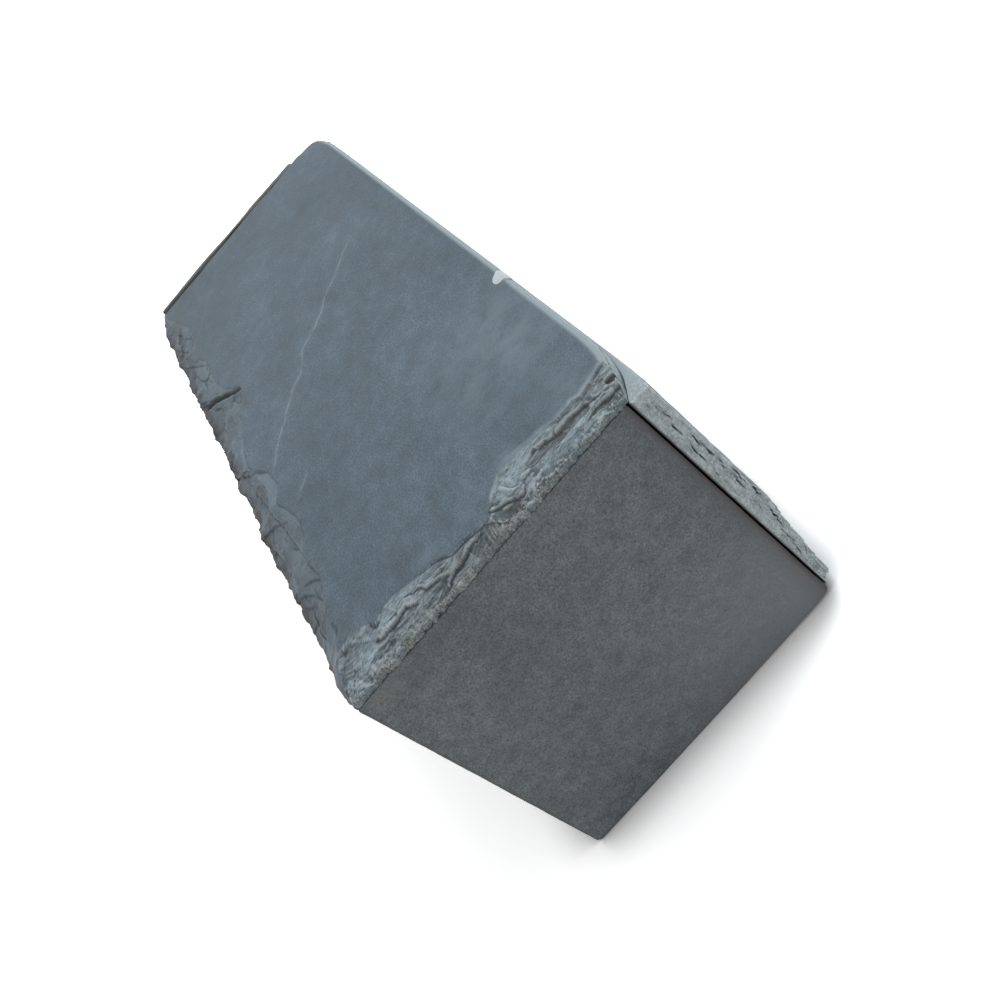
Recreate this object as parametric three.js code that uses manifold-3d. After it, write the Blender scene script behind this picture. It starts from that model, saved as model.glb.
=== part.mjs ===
// A long closed box put together from six slabs of roofing slate.
// Millimetres, +Z up. The box stands on z = 0 with its length along Y; the
// square front slab faces -Y. The origin is at the middle of the underside.
//
// Every slab is worked lying flat, as on a bench: its outline in the XY plane,
// its outer face up at z = thickness. It is then turned and set in its place.

import * as THREE from 'three';
import { mergeVertices } from 'three/addons/utils/BufferGeometryUtils.js';
import Module from 'manifold-3d';

const wasm = await Module();
wasm.setup();

// ---------------------------------------------------------------- sizes

const frontWidth = 102.4;      // the front slab, across the box
const boxLength = 303;         // front face to back face
const boxHeight = 108.5;       // floor to the lid's top face

const lidThickness = 6.8;
const frontThickness = 6.4;
const rightThickness = 7.3;
const backThickness = 6.3;
const leftThickness = 6.5;
const baseThickness = 6.6;

const joint = 0.5;             // adhesive bed between two slabs
const sideProud = 2;           // the right slab stands out past the front face
const rightBackInset = 1.5;    // and stops short of the back face
const lidOverhangLeft = 1.1;   // the lid's left edge past the front slab, in front
const lidInsetRight = 0.6;     // its right edge back from the right slab's face, in front
const lidFlareLeft = 3.2;      // how much the lid widens to the left towards the back
const lidFlareRight = 0.3;     // and to the right
const leftInset = 1.2;         // the left slab back from the front slab's edge
const backInset = 1.8;         // the back slab's left end back from the same edge
const backSkew = -2;           // degrees, the back slab is bedded slightly askew
const backDrop = 0.7;          // its top edge runs down this much to the right

const nearCornerAcross = 6.4;  // the lid's near right corner is worn away this far along
const nearCornerAlong = 26;    // the front edge, and this far along the right edge
const frontLeftCorner = 1.4;   // its front left corner is broken off this far
const farCornerAcross = 10;    // its far right corner, along the back edge
const farCornerAlong = 13;     // and along the right edge
const farCornerDrawIn = 1.1;   // the right edge draws in before that corner
const drawInLength = 24;
const lidArrisRadius = 2.1;    // the lid's smooth right edge
const wornCorner = 2.6;        // corners of the sawn slabs
const wornArris = 0.5;         // their edges

const edgeWander = 1;          // how far the lid's left edge strays from a straight line
const flakeReach = 12;         // how far a common flake runs in over the lid's face
const flakeOverlap = 1.8;      // a flake's length against the stretch it has to itself
const flakeTwist = 14;         // degrees, how far a flake may lie askew to the edge
const lowerArris = 0.9;        // what is left of the lid's thickness under its flakes
const chamferReach = 5.5;      // the rough bevel that the flakes are struck from
const nibblePitch = 5;         // small bites out of a lower arris
const nibbleBite = 0.45;
const cleftLength = 17;        // a cleft across the lid's left edge, where one blow went deep
const cleftWidth = 5;          // at the edge, from where it runs to a point
const cleftDepth = 4;
const cleftTurn = 28;          // degrees, how far it lies off square to the edge
const cleftPlace = 0.6;        // how far back it is, as a share of the lid's length

const seeds = { front: 5, left: 8, right: 31, frontBites: 3, leftBites: 11, rightBites: 23 };

const brokenBack = 11.4;       // the back slab's upper right corner is gone this far
const brokenSteps = [[0.88, 0.8], [0.53, 0.5], [0.18, 0.15]];   // across and up, as shares
const spallReach = 4;          // flakes off the right slab's front edge
const spallRoot = 1.6;
const cornerSpallReach = 58;   // the broad spall at that slab's broken corner
const cornerSpallHeight = 39;
const cornerSpallRoot = 3.3;
const slitHeight = 0.4;        // half the opening where that slab's layers have parted
const slitDepth = 1.8;

// ------------------------------------------------------- places that follow

const lidUnder = boxHeight - lidThickness;
const wallTop = lidUnder - joint;
const frontLeft = -frontWidth / 2;
const frontRight = frontWidth / 2;
const rightInner = frontRight + joint;
const rightOuter = rightInner + rightThickness;
const leftOuter = frontLeft + leftInset;
const leftInner = leftOuter + leftThickness;
const backInner = boxLength - backThickness;
const lidLength = backInner - joint;
const lidLeft = frontLeft - lidOverhangLeft;
const lidRight = rightOuter - lidInsetRight;

// ------------------------------------------------------- solids and cutters

function toSolid(geometry) {
  geometry.deleteAttribute('normal');
  geometry.deleteAttribute('uv');
  const merged = mergeVertices(geometry, 1e-4);
  return new wasm.Manifold(new wasm.Mesh({
    numProp: 3,
    vertProperties: new Float32Array(merged.attributes.position.array),
    triVerts: new Uint32Array(merged.index.array),
  }));
}

function toGeometry(solid) {
  const cut = solid.getMesh();
  const geometry = new THREE.BufferGeometry();
  geometry.setAttribute('position', new THREE.BufferAttribute(cut.vertProperties, 3));
  geometry.setIndex(new THREE.BufferAttribute(cut.triVerts, 1));
  geometry.computeVertexNormals();
  return geometry;
}

// A plate of the given outline, lying on z = 0.
function plate(outline, thickness) {
  const options = { depth: thickness, bevelEnabled: false, curveSegments: 5 };
  return toSolid(new THREE.ExtrudeGeometry(outline, options));
}

// A rectangle from (0, 0) to (width, height) with worn, rounded corners.
function sawnOutline(width, height, radius) {
  const outline = new THREE.Shape();
  outline.moveTo(radius, 0);
  outline.lineTo(width - radius, 0);
  outline.quadraticCurveTo(width, 0, width, radius);
  outline.lineTo(width, height - radius);
  outline.quadraticCurveTo(width, height, width - radius, height);
  outline.lineTo(radius, height);
  outline.quadraticCurveTo(0, height, 0, height - radius);
  outline.lineTo(0, radius);
  outline.quadraticCurveTo(0, 0, radius, 0);
  return outline;
}

// A prism whose section lies across the run from point a to point b. The
// section's first coordinate is the distance in from the edge, to the left of
// the run; its second is the height z.
function prismAlong(a, b, section, spare) {
  const run = new THREE.Vector2().subVectors(b, a);
  const length = run.length();
  run.divideScalar(length);
  const shape = new THREE.Shape(section.map(([inward, z]) => new THREE.Vector2(inward, z)));
  const options = { depth: length + 2 * spare, bevelEnabled: false };
  const prism = new THREE.ExtrudeGeometry(shape, options);
  const inward = new THREE.Vector3(-run.y, run.x, 0);
  const up = new THREE.Vector3(0, 0, 1);
  const along = new THREE.Vector3(run.x, run.y, 0);
  prism.applyMatrix4(new THREE.Matrix4().makeBasis(inward, up, along));
  prism.translate(a.x - along.x * spare, a.y - along.y * spare, 0);
  return toSolid(prism);
}

// An ellipsoid, the hollow that one blow of the slater's knife leaves.
function scoop(centre, radii, turn, detail) {
  const ball = new THREE.IcosahedronGeometry(1, detail);
  ball.scale(radii.x, radii.y, radii.z);
  ball.rotateZ(turn);
  ball.translate(centre.x, centre.y, centre.z);
  return toSolid(ball);
}

// What is left of a slab once the loose crumbs have fallen from it.
function withoutCrumbs(slab) {
  const pieces = slab.decompose();
  return pieces.reduce((largest, piece) => (piece.volume() > largest.volume() ? piece : largest));
}

// A repeatable number between 0 and 1, for the unevenness of hand work.
function uneven(count, seed) {
  const value = Math.sin(count * 12.9898 + seed * 78.233) * 43758.5453;
  return value - Math.floor(value);
}

// ------------------------------------------------------- working the edges

// Rounds the arris between a slab's outer face and its edge from a to b.
function easeArris(slab, a, b, thickness, radius) {
  const section = [[-radius, thickness - radius], [0, thickness - radius]];
  const steps = 4;
  for (let i = 1; i <= steps; i += 1) {
    const angle = (i / steps) * Math.PI / 2;
    section.push([radius * (1 - Math.cos(angle)), thickness - radius * (1 - Math.sin(angle))]);
  }
  section.push([radius, thickness + radius], [-radius, thickness + radius]);
  return slab.subtract(prismAlong(a, b, section, radius));
}

function easeAround(slab, width, height, thickness, radius) {
  const corners = [[0, 0], [width, 0], [width, height], [0, height]];
  const points = corners.map(([x, y]) => new THREE.Vector2(x, y));
  return points.reduce((worked, point, i) => {
    return easeArris(worked, point, points[(i + 1) % 4], thickness, radius);
  }, slab);
}

// Dresses the edge from a to b. A chamfer comes off first. Then each blow
// strikes off one shell-shaped flake, which runs into the one before it. width
// is a flake's share of the edge, reach is how far it runs in over the face,
// and root is how deep it lies at the edge itself. hollow goes from 0.3, a
// nearly flat scar, to 1, a deep cove.
function dressEdge(slab, a, b, thickness, chamfer, flakes, seed) {
  const run = new THREE.Vector2().subVectors(b, a);
  const shares = flakes.reduce((sum, flake) => sum + flake.width, 0);
  const perShare = run.length() / shares;
  run.normalize();
  const alongEdge = Math.atan2(run.y, run.x);
  const clear = chamfer.reach;
  const bevel = [
    [-clear, thickness - chamfer.root],
    [0, thickness - chamfer.root],
    [chamfer.reach, thickness],
    [chamfer.reach, thickness + clear],
    [-clear, thickness + clear],
  ];
  let worked = slab.subtract(prismAlong(a, b, bevel, clear));
  let start = 0;
  flakes.forEach(({ width, reach, root, hollow }, i) => {
    const place = (start + width / 2) * perShare;
    start += width;
    // The ellipsoid's middle lies outside the edge and above the face. Its
    // radii follow from where it has to meet the face and the edge.
    const outside = (1.4 - 1.25 * hollow) * reach;
    const above = (1.6 - 1.35 * hollow) * root;
    const acrossFace = (reach + outside) ** 2;
    const downRoot = (root + above) ** 2;
    const size = acrossFace * downRoot - outside ** 2 * above ** 2;
    const across = Math.sqrt(size / (downRoot - above ** 2));
    const down = Math.sqrt(size / (acrossFace - outside ** 2));
    const mouth = Math.sqrt(1 - (outside / across) ** 2 - (above / down) ** 2);
    const along = (flakeOverlap * (width / 2) * perShare) / mouth;
    const centre = new THREE.Vector3(
      a.x + run.x * place + run.y * outside,
      a.y + run.y * place - run.x * outside,
      thickness + above,
    );
    const twist = THREE.MathUtils.degToRad(flakeTwist * 2 * (uneven(i, seed) - 0.5));
    const radii = new THREE.Vector3(along, across, down);
    worked = worked.subtract(scoop(centre, radii, alongEdge + twist, 3));
  });
  return worked;
}

// Small bites along the lower arris of a dressed edge, one after another. edge
// is the run of points that the arris follows.
function nibbleEdge(slab, edge, pitch, bite, seed) {
  const path = new THREE.Path(edge);
  const count = Math.floor(path.getLength() / pitch);
  let worked = slab;
  for (let i = 0; i < count; i += 1) {
    const share = (i + 0.5 + 0.5 * (uneven(i, seed) - 0.5)) / count;
    const spot = path.getPointAt(share);
    const run = path.getTangentAt(share);
    const size = 0.6 + 0.6 * uneven(i, seed + 1);
    const radii = new THREE.Vector3(0.62 * pitch * size, 2.4 * bite, 3.2 * bite * size);
    const outward = radii.y - bite * (0.4 + 0.8 * uneven(i, seed + 2));
    const centre = new THREE.Vector3(
      spot.x + run.y * outward,
      spot.y - run.x * outward,
      bite * (0.5 + 2 * uneven(i, seed + 3)),
    );
    worked = worked.subtract(scoop(centre, radii, Math.atan2(run.y, run.x), 1));
  }
  return worked;
}

// ------------------------------------------------------- the slabs

// Where the back slab's inner face stands at a distance x from the middle.
const backSlope = Math.tan(THREE.MathUtils.degToRad(backSkew));
const backInnerAt = (x) => backInner + x * backSlope;

// The lid's left edge wanders: how far along from the front, as a share of the
// lid's length, and how far to the right of a straight line.
const lidLeftStrays = [
  [0.98, 0.4], [0.945, -0.4], [0.87, -0.3], [0.79, 0.1], [0.7, -0.1], [0.62, 0.4],
  [0.55, 0.9], [0.468, 0.4], [0.456, -1.2], [0.445, -2], [0.43, -0.4], [0.41, 0.6],
  [0.375, -0.2], [0.35, 0.5], [0.322, -1.2], [0.295, 0], [0.265, -0.8], [0.235, 0.2],
  [0.213, -0.1], [0.185, 0.8], [0.16, 0.1], [0.135, 1.1], [0.085, 0.9], [0.07, -0.3],
  [0.045, -0.1], [0.017, 0.5],
];
const lidLeftBack = 1.7;
const leftEdgeAt = (share, stray) => lidLeft - lidFlareLeft * share + stray * edgeWander;

// The lid's smooth right edge, from the front to the back, with the long worn
// curve of its near corner and the rounder far one.
function lidRightEdge() {
  const back = backInnerAt(lidRight) - joint;
  const widest = lidRight + lidFlareRight;
  const drawnIn = widest - farCornerDrawIn;
  const at = (x, y) => new THREE.Vector2(x, y);
  const nearCorner = new THREE.QuadraticBezierCurve(
    at(lidRight - nearCornerAcross, 0),
    at(lidRight, nearCornerAlong * 0.6),
    at(lidRight, nearCornerAlong),
  );
  const farCorner = new THREE.QuadraticBezierCurve(
    at(drawnIn, back - farCornerAlong),
    at(drawnIn, back),
    at(drawnIn - farCornerAcross, back),
  );
  return [
    ...nearCorner.getPoints(6),
    at(widest, back - farCornerAlong - drawInLength),
    ...farCorner.getPoints(5),
  ];
}

// Its dressed left edge, from the back to the front.
function lidLeftEdge() {
  const back = backInnerAt(lidLeft) - joint;
  return [
    new THREE.Vector2(leftEdgeAt(1, lidLeftBack), back),
    ...lidLeftStrays.map(([share, stray]) => (
      new THREE.Vector2(leftEdgeAt(share, stray), share * lidLength)
    )),
    new THREE.Vector2(lidLeft + frontLeftCorner, 0),
  ];
}

// Flakes off the lid's front edge, from left to right: each one's share of the
// edge, its reach against the common one, and how hollow it is.
const frontFlakes = [
  [12, 1.5, 0.4], [13, 0.8, 0.6], [13, 0.95, 0.5], [12, 0.7, 0.7], [12, 0.5, 0.8],
  [11, 1.1, 0.9], [14, 0.8, 0.6], [15, 0.7, 0.4], [9, 0.8, 0.6],
];

// Flakes off its left edge, from the back to the front.
const leftFlakes = [
  [11, 0.5, 0.4], [14, 0.75, 0.5], [17, 0.7, 0.35], [16, 1, 0.4], [17, 1.3, 0.3],
  [16, 1.1, 0.5], [17, 1.35, 0.35], [16, 1.25, 0.5], [14, 1, 0.8], [13, 1.1, 0.5],
  [11, 1.35, 0.6], [12, 1.3, 0.4], [15, 1.4, 0.5], [15, 1.15, 0.4], [13, 1.3, 0.6],
  [13, 1.1, 0.4], [12, 1.05, 0.7], [12, 0.9, 0.5], [13, 0.9, 0.7], [15, 1, 0.4],
];

function topSlab() {
  const corner = new THREE.Vector2(lidLeft, 0);
  const frontEnd = new THREE.Vector2(lidRight - nearCornerAcross, 0);
  const leftEnd = new THREE.Vector2(lidLeft - lidFlareLeft, lidLength);
  const root = lidThickness - lowerArris;
  const chamfer = { reach: chamferReach, root };
  const flakes = (list) => list.map(([width, reach, hollow]) => (
    { width, reach: reach * flakeReach, root, hollow }
  ));
  const rightEdge = lidRightEdge();
  const leftEdge = lidLeftEdge();
  let lid = plate(new THREE.Shape([...rightEdge, ...leftEdge]), lidThickness);
  for (let i = 0; i + 1 < rightEdge.length; i += 1) {
    lid = easeArris(lid, rightEdge[i], rightEdge[i + 1], lidThickness, lidArrisRadius);
  }
  lid = dressEdge(lid, corner, frontEnd, lidThickness, chamfer, flakes(frontFlakes), seeds.front);
  lid = dressEdge(lid, leftEnd, corner, lidThickness, chamfer, flakes(leftFlakes), seeds.left);
  lid = nibbleEdge(lid, [corner, frontEnd], nibblePitch, nibbleBite, seeds.frontBites);
  lid = nibbleEdge(lid, leftEdge, nibblePitch, nibbleBite, seeds.leftBites);
  return withoutCrumbs(lid.subtract(cleft()));
}

// A wedge that lies flat, its point inside the slab and its broad end outside.
function cleft() {
  const wedge = new THREE.ConeGeometry(cleftWidth / 2, cleftLength, 4);
  wedge.rotateZ(-Math.PI / 2);
  wedge.scale(1, 1, cleftDepth / (cleftWidth / 2));
  wedge.rotateZ(-THREE.MathUtils.degToRad(cleftTurn));
  const outerX = leftEdgeAt(cleftPlace, 0);
  wedge.translate(outerX + cleftLength * 0.6, cleftPlace * lidLength, lidThickness);
  return toSolid(wedge);
}

function frontSlab() {
  const outline = sawnOutline(frontWidth, wallTop, wornCorner);
  const slab = plate(outline, frontThickness);
  return easeAround(slab, frontWidth, wallTop, frontThickness, wornArris);
}

// The right slab's outline in its own plane: its length along X, the front
// edge at X = 0, with the lower front corner broken off.
const rightLength = boxLength + sideProud - rightBackInset;
const brokenCorner = [[15, 0], [9, 2.6], [6, 4.4], [3, 6], [0.8, 9], [0, 15]];

function rightSideSlab() {
  const outline = new THREE.Shape();
  outline.moveTo(rightLength, 0);
  outline.lineTo(rightLength, wallTop);
  outline.lineTo(0, wallTop);
  for (const [x, y] of [...brokenCorner].reverse()) {
    outline.lineTo(x, y);
  }
  const top = new THREE.Vector2(0, wallTop);
  const bottom = new THREE.Vector2(0, 0);
  let slab = plate(outline, rightThickness);
  // Flakes off the front edge, from the top down: share, reach, root, hollow.
  const flakes = [
    [12, 5, 0.78, 0.3], [10, 4.2, 0.65, 0.4], [16, 1.8, 0.55, 0.5], [20, 2.2, 0.52, 0.4],
    [18, 6.2, 0.95, 0.4], [13, 5, 1.3, 0.4], [11, 5, 2.2, 0.5],
  ].map(([width, reach, root, hollow]) => (
    { width, reach: reach * spallReach, root: root * spallRoot, hollow }
  ));
  const chamfer = { reach: 3 * spallReach, root: 0.47 * spallRoot };
  slab = dressEdge(slab, top, bottom, rightThickness, chamfer, flakes, seeds.right);
  // One broad spall has come off the outer face at the broken corner.
  const spallMiddle = new THREE.Vector3(0, 0, rightThickness + cornerSpallRoot);
  const spallRadii = new THREE.Vector3(cornerSpallReach, cornerSpallHeight, 2 * cornerSpallRoot);
  slab = slab.subtract(scoop(spallMiddle, spallRadii, 0, 5));
  // Lengthwise slits where the layers of the stone have parted: where each
  // starts below the top and how long it is, as shares of the height, and its
  // level in the thickness.
  const slits = [
    [0.03, 0.09, 0.52], [0.07, 0.12, 0.4], [0.14, 0.11, 0.6], [0.2, 0.08, 0.34],
    [0.28, 0.25, 0.72], [0.33, 0.1, 0.36], [0.52, 0.17, 0.66], [0.7, 0.12, 0.5],
    [0.8, 0.09, 0.3],
  ];
  for (const [start, share, level] of slits) {
    const half = (share / 2) * wallTop;
    const middle = new THREE.Vector3(
      0,
      (1 - start) * wallTop - half,
      level * rightThickness,
    );
    const radii = new THREE.Vector3(slitDepth, half, slitHeight);
    slab = slab.subtract(scoop(middle, radii, 0, 2));
  }
  slab = nibbleEdge(slab, [top, bottom], nibblePitch, nibbleBite, seeds.rightBites);
  return withoutCrumbs(slab);
}

// The back slab's outline: its upper right corner is broken away beside the
// lid's end. X runs from the box's right to its left.
const backRightEnd = rightInner - 2 * joint;
const backLeftEnd = frontLeft + backInset;
const backWidth = backRightEnd - backLeftEnd;

function backSlab() {
  const outline = new THREE.Shape();
  outline.moveTo(0, 0);
  outline.lineTo(backWidth, 0);
  outline.lineTo(backWidth, boxHeight);
  outline.lineTo(brokenBack, boxHeight - backDrop);
  const brokenHeight = boxHeight - backDrop - lidUnder;
  for (const [across, up] of brokenSteps) {
    outline.lineTo(brokenBack * across, lidUnder + brokenHeight * up);
  }
  outline.lineTo(0, lidUnder);
  return plate(outline, backThickness);
}

function leftSideSlab() {
  const length = backInnerAt(leftInner) - frontThickness - 2 * joint;
  return plate(sawnOutline(length, wallTop, wornCorner), leftThickness);
}

function baseSlab() {
  const width = rightInner - leftInner - 2 * joint;
  const length = backInnerAt(rightInner) - frontThickness - 2 * joint;
  return plate(sawnOutline(width, length, wornCorner), baseThickness);
}

// ------------------------------------------------------- setting in place

function slate(colour, roughness) {
  return new THREE.MeshStandardMaterial({ color: colour, roughness, metalness: 0 });
}

function named(name, solid, material) {
  const mesh = new THREE.Mesh(toGeometry(solid), material);
  mesh.name = name;
  return mesh;
}

// Turns a slab so that its own X, Y and Z run along the given directions.
function stand(mesh, xAxis, yAxis, zAxis) {
  const basis = new THREE.Matrix4().makeBasis(
    new THREE.Vector3(...xAxis),
    new THREE.Vector3(...yAxis),
    new THREE.Vector3(...zAxis),
  );
  mesh.quaternion.setFromRotationMatrix(basis);
}

const lid = named('top_slab', topSlab(), slate(0x69767f, 0.62));
lid.position.set(0, 0, lidUnder);

const front = named('front_slab', frontSlab(), slate(0x555a5c, 0.7));
stand(front, [1, 0, 0], [0, 0, 1], [0, -1, 0]);
front.position.set(frontLeft, frontThickness, 0);

const right = named('right_side_slab', rightSideSlab(), slate(0x8b9496, 0.75));
stand(right, [0, 1, 0], [0, 0, 1], [1, 0, 0]);
right.position.set(rightInner, -sideProud, 0);

const back = named('back_slab', backSlab(), slate(0x50554f, 0.7));
stand(back, [-1, 0, 0], [0, 0, 1], [0, 1, 0]);
back.position.set(backRightEnd, 0, 0);
const backHolder = new THREE.Group();
backHolder.add(back);
backHolder.rotation.z = THREE.MathUtils.degToRad(backSkew);
backHolder.position.set(0, backInner, 0);

const left = named('left_side_slab', leftSideSlab(), slate(0x5c6468, 0.7));
stand(left, [0, -1, 0], [0, 0, 1], [-1, 0, 0]);
left.position.set(leftInner, backInnerAt(leftInner) - joint, 0);

const base = named('base_slab', baseSlab(), slate(0x5c6468, 0.7));
stand(base, [1, 0, 0], [0, -1, 0], [0, 0, -1]);
base.position.set(leftInner + joint, backInnerAt(rightInner) - joint, baseThickness);

const slateBox = new THREE.Group();
slateBox.add(lid, front, right, backHolder, left, base);
const leftmost = Math.min(...lidLeftEdge().map((point) => point.x));
const rightmost = Math.max(rightOuter, lidRight + lidFlareRight);
const farthest = boxLength + backLeftEnd * backSlope;
slateBox.position.set(-(leftmost + rightmost) / 2, -(farthest - sideProud) / 2, 0);

export default slateBox;
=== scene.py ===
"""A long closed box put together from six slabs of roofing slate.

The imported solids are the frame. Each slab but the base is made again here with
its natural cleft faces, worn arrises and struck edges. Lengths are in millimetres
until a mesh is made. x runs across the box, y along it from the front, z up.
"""
import math

import bpy
import numpy as np
from mathutils import Matrix, Vector


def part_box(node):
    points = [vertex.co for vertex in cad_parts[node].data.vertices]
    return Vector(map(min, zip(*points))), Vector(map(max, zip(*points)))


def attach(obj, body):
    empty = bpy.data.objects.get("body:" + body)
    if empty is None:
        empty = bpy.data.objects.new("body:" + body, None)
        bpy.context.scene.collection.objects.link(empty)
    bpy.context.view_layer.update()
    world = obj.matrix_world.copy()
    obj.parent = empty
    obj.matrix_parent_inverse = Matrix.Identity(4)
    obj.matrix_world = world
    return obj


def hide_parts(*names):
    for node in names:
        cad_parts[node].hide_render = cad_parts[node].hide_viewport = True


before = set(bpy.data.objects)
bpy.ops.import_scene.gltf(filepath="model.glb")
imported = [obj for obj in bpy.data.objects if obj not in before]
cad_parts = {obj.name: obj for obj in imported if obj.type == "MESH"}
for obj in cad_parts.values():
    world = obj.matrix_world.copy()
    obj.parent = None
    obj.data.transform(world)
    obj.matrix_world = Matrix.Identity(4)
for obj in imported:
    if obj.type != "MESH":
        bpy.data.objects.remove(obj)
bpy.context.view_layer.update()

# ------------------------------------------------------------- base slab
# The slab that the box stands on, sawn from roofing slate and glued between
# the walls. Only its underside shows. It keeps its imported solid, and its grey
# stone is the ground for every other slab's finish.

MM = 0.001


def node(tree, kind, **settings):
    """Adds a node and sets its own options."""
    made = tree.nodes.new(kind)
    for name, value in settings.items():
        setattr(made, name, value)
    return made


def node_group(name, kind, inputs, outputs):
    """Starts a node group: its sockets, and the nodes by which they come in and go out."""
    group = bpy.data.node_groups.new(name, kind)
    for label, holds, value in inputs:
        made = group.interface.new_socket(label, in_out="INPUT", socket_type="NodeSocket" + holds)
        if value is not None:
            made.default_value = value
    for label, holds in outputs:
        group.interface.new_socket(label, in_out="OUTPUT", socket_type="NodeSocket" + holds)
    return group, node(group, "NodeGroupInput"), node(group, "NodeGroupOutput")


def noise_at(tree, place, size, detail, roughness=0.5):
    """Noise whose lumps are about this many millimetres across."""
    made = node(tree, "ShaderNodeTexNoise")
    made.inputs["Scale"].default_value = 1 / (size * MM)
    made.inputs["Detail"].default_value = detail
    made.inputs["Roughness"].default_value = roughness
    tree.links.new(place, made.inputs["Vector"])
    return made.outputs["Fac"]


def spread(tree, value, low, high, out_low, out_high):
    """Stretches a value from one range to another."""
    made = node(tree, "ShaderNodeMapRange", clamp=True)
    for name, number in (("From Min", low), ("From Max", high)):
        made.inputs[name].default_value = number
    for name, number in (("To Min", out_low), ("To Max", out_high)):
        if isinstance(number, (int, float)):
            made.inputs[name].default_value = number
        else:
            tree.links.new(number, made.inputs[name])
    tree.links.new(value, made.inputs["Value"])
    return made.outputs["Result"]


def sums(tree, kind, first, second):
    """One step of arithmetic on two values."""
    made = node(tree, "ShaderNodeMath", operation=kind)
    for place, value in enumerate((first, second)):
        if isinstance(value, (int, float)):
            made.inputs[place].default_value = value
        else:
            tree.links.new(value, made.inputs[place])
    return made.outputs["Value"]


def times(tree, first, *others):
    """A value multiplied by each of the others."""
    for other in others:
        first = sums(tree, "MULTIPLY", first, other)
    return first


def blend_colour(tree, share, first, second, kind="MIX"):
    """Mixes two colours by a share."""
    made = node(tree, "ShaderNodeMix", data_type="RGBA", blend_type=kind)
    for name, value in (("Factor", share), ("A", first), ("B", second)):
        wanted = "VALUE" if name == "Factor" else "RGBA"
        place = next(s for s in made.inputs if s.name == name and s.type == wanted)
        if isinstance(value, (int, float, tuple)):
            place.default_value = value
        else:
            tree.links.new(value, place)
    return next(s for s in made.outputs if s.type == "RGBA")


def object_place(tree):
    """Where a point lies on the object."""
    return node(tree, "ShaderNodeTexCoord").outputs["Object"]


def stretched(tree, place, factors, operation="MULTIPLY"):
    """A place multiplied, divided or moved by three numbers."""
    made = node(tree, "ShaderNodeVectorMath", operation=operation)
    tree.links.new(place, made.inputs[0])
    made.inputs[1].default_value = factors
    return made.outputs["Vector"]


def grey_of(tree, value):
    """A grey as light as a value."""
    grey = node(tree, "ShaderNodeCombineColor")
    for channel in ("Red", "Green", "Blue"):
        tree.links.new(value, grey.inputs[channel])
    return grey.outputs["Color"]


def raised(tree, height, relief):
    """Raises a finish's stone by this many millimetres where a height is 1."""
    bump = node(tree, "ShaderNodeBump")
    bump.inputs["Distance"].default_value = relief * MM
    tree.links.new(height, bump.inputs["Height"])
    normal = tree.nodes["Principled BSDF"].inputs["Normal"]
    if normal.is_linked:
        tree.links.new(normal.links[0].from_socket, bump.inputs["Normal"])
    tree.links.new(bump.outputs["Normal"], normal)


def slate_grain_group():
    """The grain of a natural cleft face: soft clouds, mottling and fine speckle."""
    group, given, result = node_group("slate_grain", "ShaderNodeTree", [
        ("Colour", "Color", (0.15, 0.17, 0.18, 1)), ("Cloud colour", "Color", (0.18, 0.2, 0.2, 1)),
        ("Clouds", "Float", 0.5), ("Mottle", "Float", 0.1), ("Speckle", "Float", 0.1),
    ], [("Colour", "Color"), ("Roughness", "Float"), ("Height", "Float")])
    place = stretched(group, object_place(group), (1, 0.62, 1))
    clouds = noise_at(group, place, 34, 8, 0.66)
    mottle = noise_at(group, place, 5, 8, 0.74)
    speckle = noise_at(group, place, 0.5, 3)
    share = times(group, spread(group, clouds, 0.36, 0.66, 0, 1), given.outputs["Clouds"])
    colour = blend_colour(group, share, given.outputs["Colour"], given.outputs["Cloud colour"])
    for pattern, name, low, high in ((mottle, "Mottle", 0.34, 0.66), (speckle, "Speckle", 0.3, 0.7)):
        lift = times(group, spread(group, pattern, low, high, -1, 1), given.outputs[name])
        grey = grey_of(group, sums(group, "ADD", lift, 1))
        colour = blend_colour(group, 1.0, colour, grey, "MULTIPLY")
    group.links.new(colour, result.inputs["Colour"])
    group.links.new(spread(group, mottle, 0.35, 0.65, 0.52, 0.72), result.inputs["Roughness"])
    height = sums(group, "ADD", times(group, mottle, 0.5), times(group, speckle, 0.5))
    group.links.new(height, result.inputs["Height"])
    return group


slate_grain = slate_grain_group()


def slate_finish(name, colour, cloud_colour, clouds, mottle, speckle, relief):
    """A slab's stone: its colours, and how much each kind of grain shows."""
    material = bpy.data.materials.new(name)
    material.use_nodes = True
    tree = material.node_tree
    grain = node(tree, "ShaderNodeGroup", node_tree=slate_grain, name="grain")
    grain.inputs["Colour"].default_value = (*colour, 1)
    grain.inputs["Cloud colour"].default_value = (*cloud_colour, 1)
    for part, amount in (("Clouds", clouds), ("Mottle", mottle), ("Speckle", speckle)):
        grain.inputs[part].default_value = amount
    stone = tree.nodes["Principled BSDF"]
    stone.inputs["Specular IOR Level"].default_value = 0.35
    tree.links.new(grain.outputs["Colour"], stone.inputs["Base Color"])
    tree.links.new(grain.outputs["Roughness"], stone.inputs["Roughness"])
    raised(tree, grain.outputs["Height"], relief)
    return material


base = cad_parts["base_slab"]
base.data.materials.clear()
base.data.materials.append(slate_finish(
    "base_slate", (0.13, 0.15, 0.16), (0.17, 0.185, 0.19), 0.6, 0.16, 0.25, 0.25))

# ------------------------------------------------------------- left side slab
# One long wall, sawn on all four edges and split along the stone's cleavage on
# its two faces. It is glued under the lid's overhang, back from the front
# slab's edge. Its arrises are a little worn.


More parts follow.
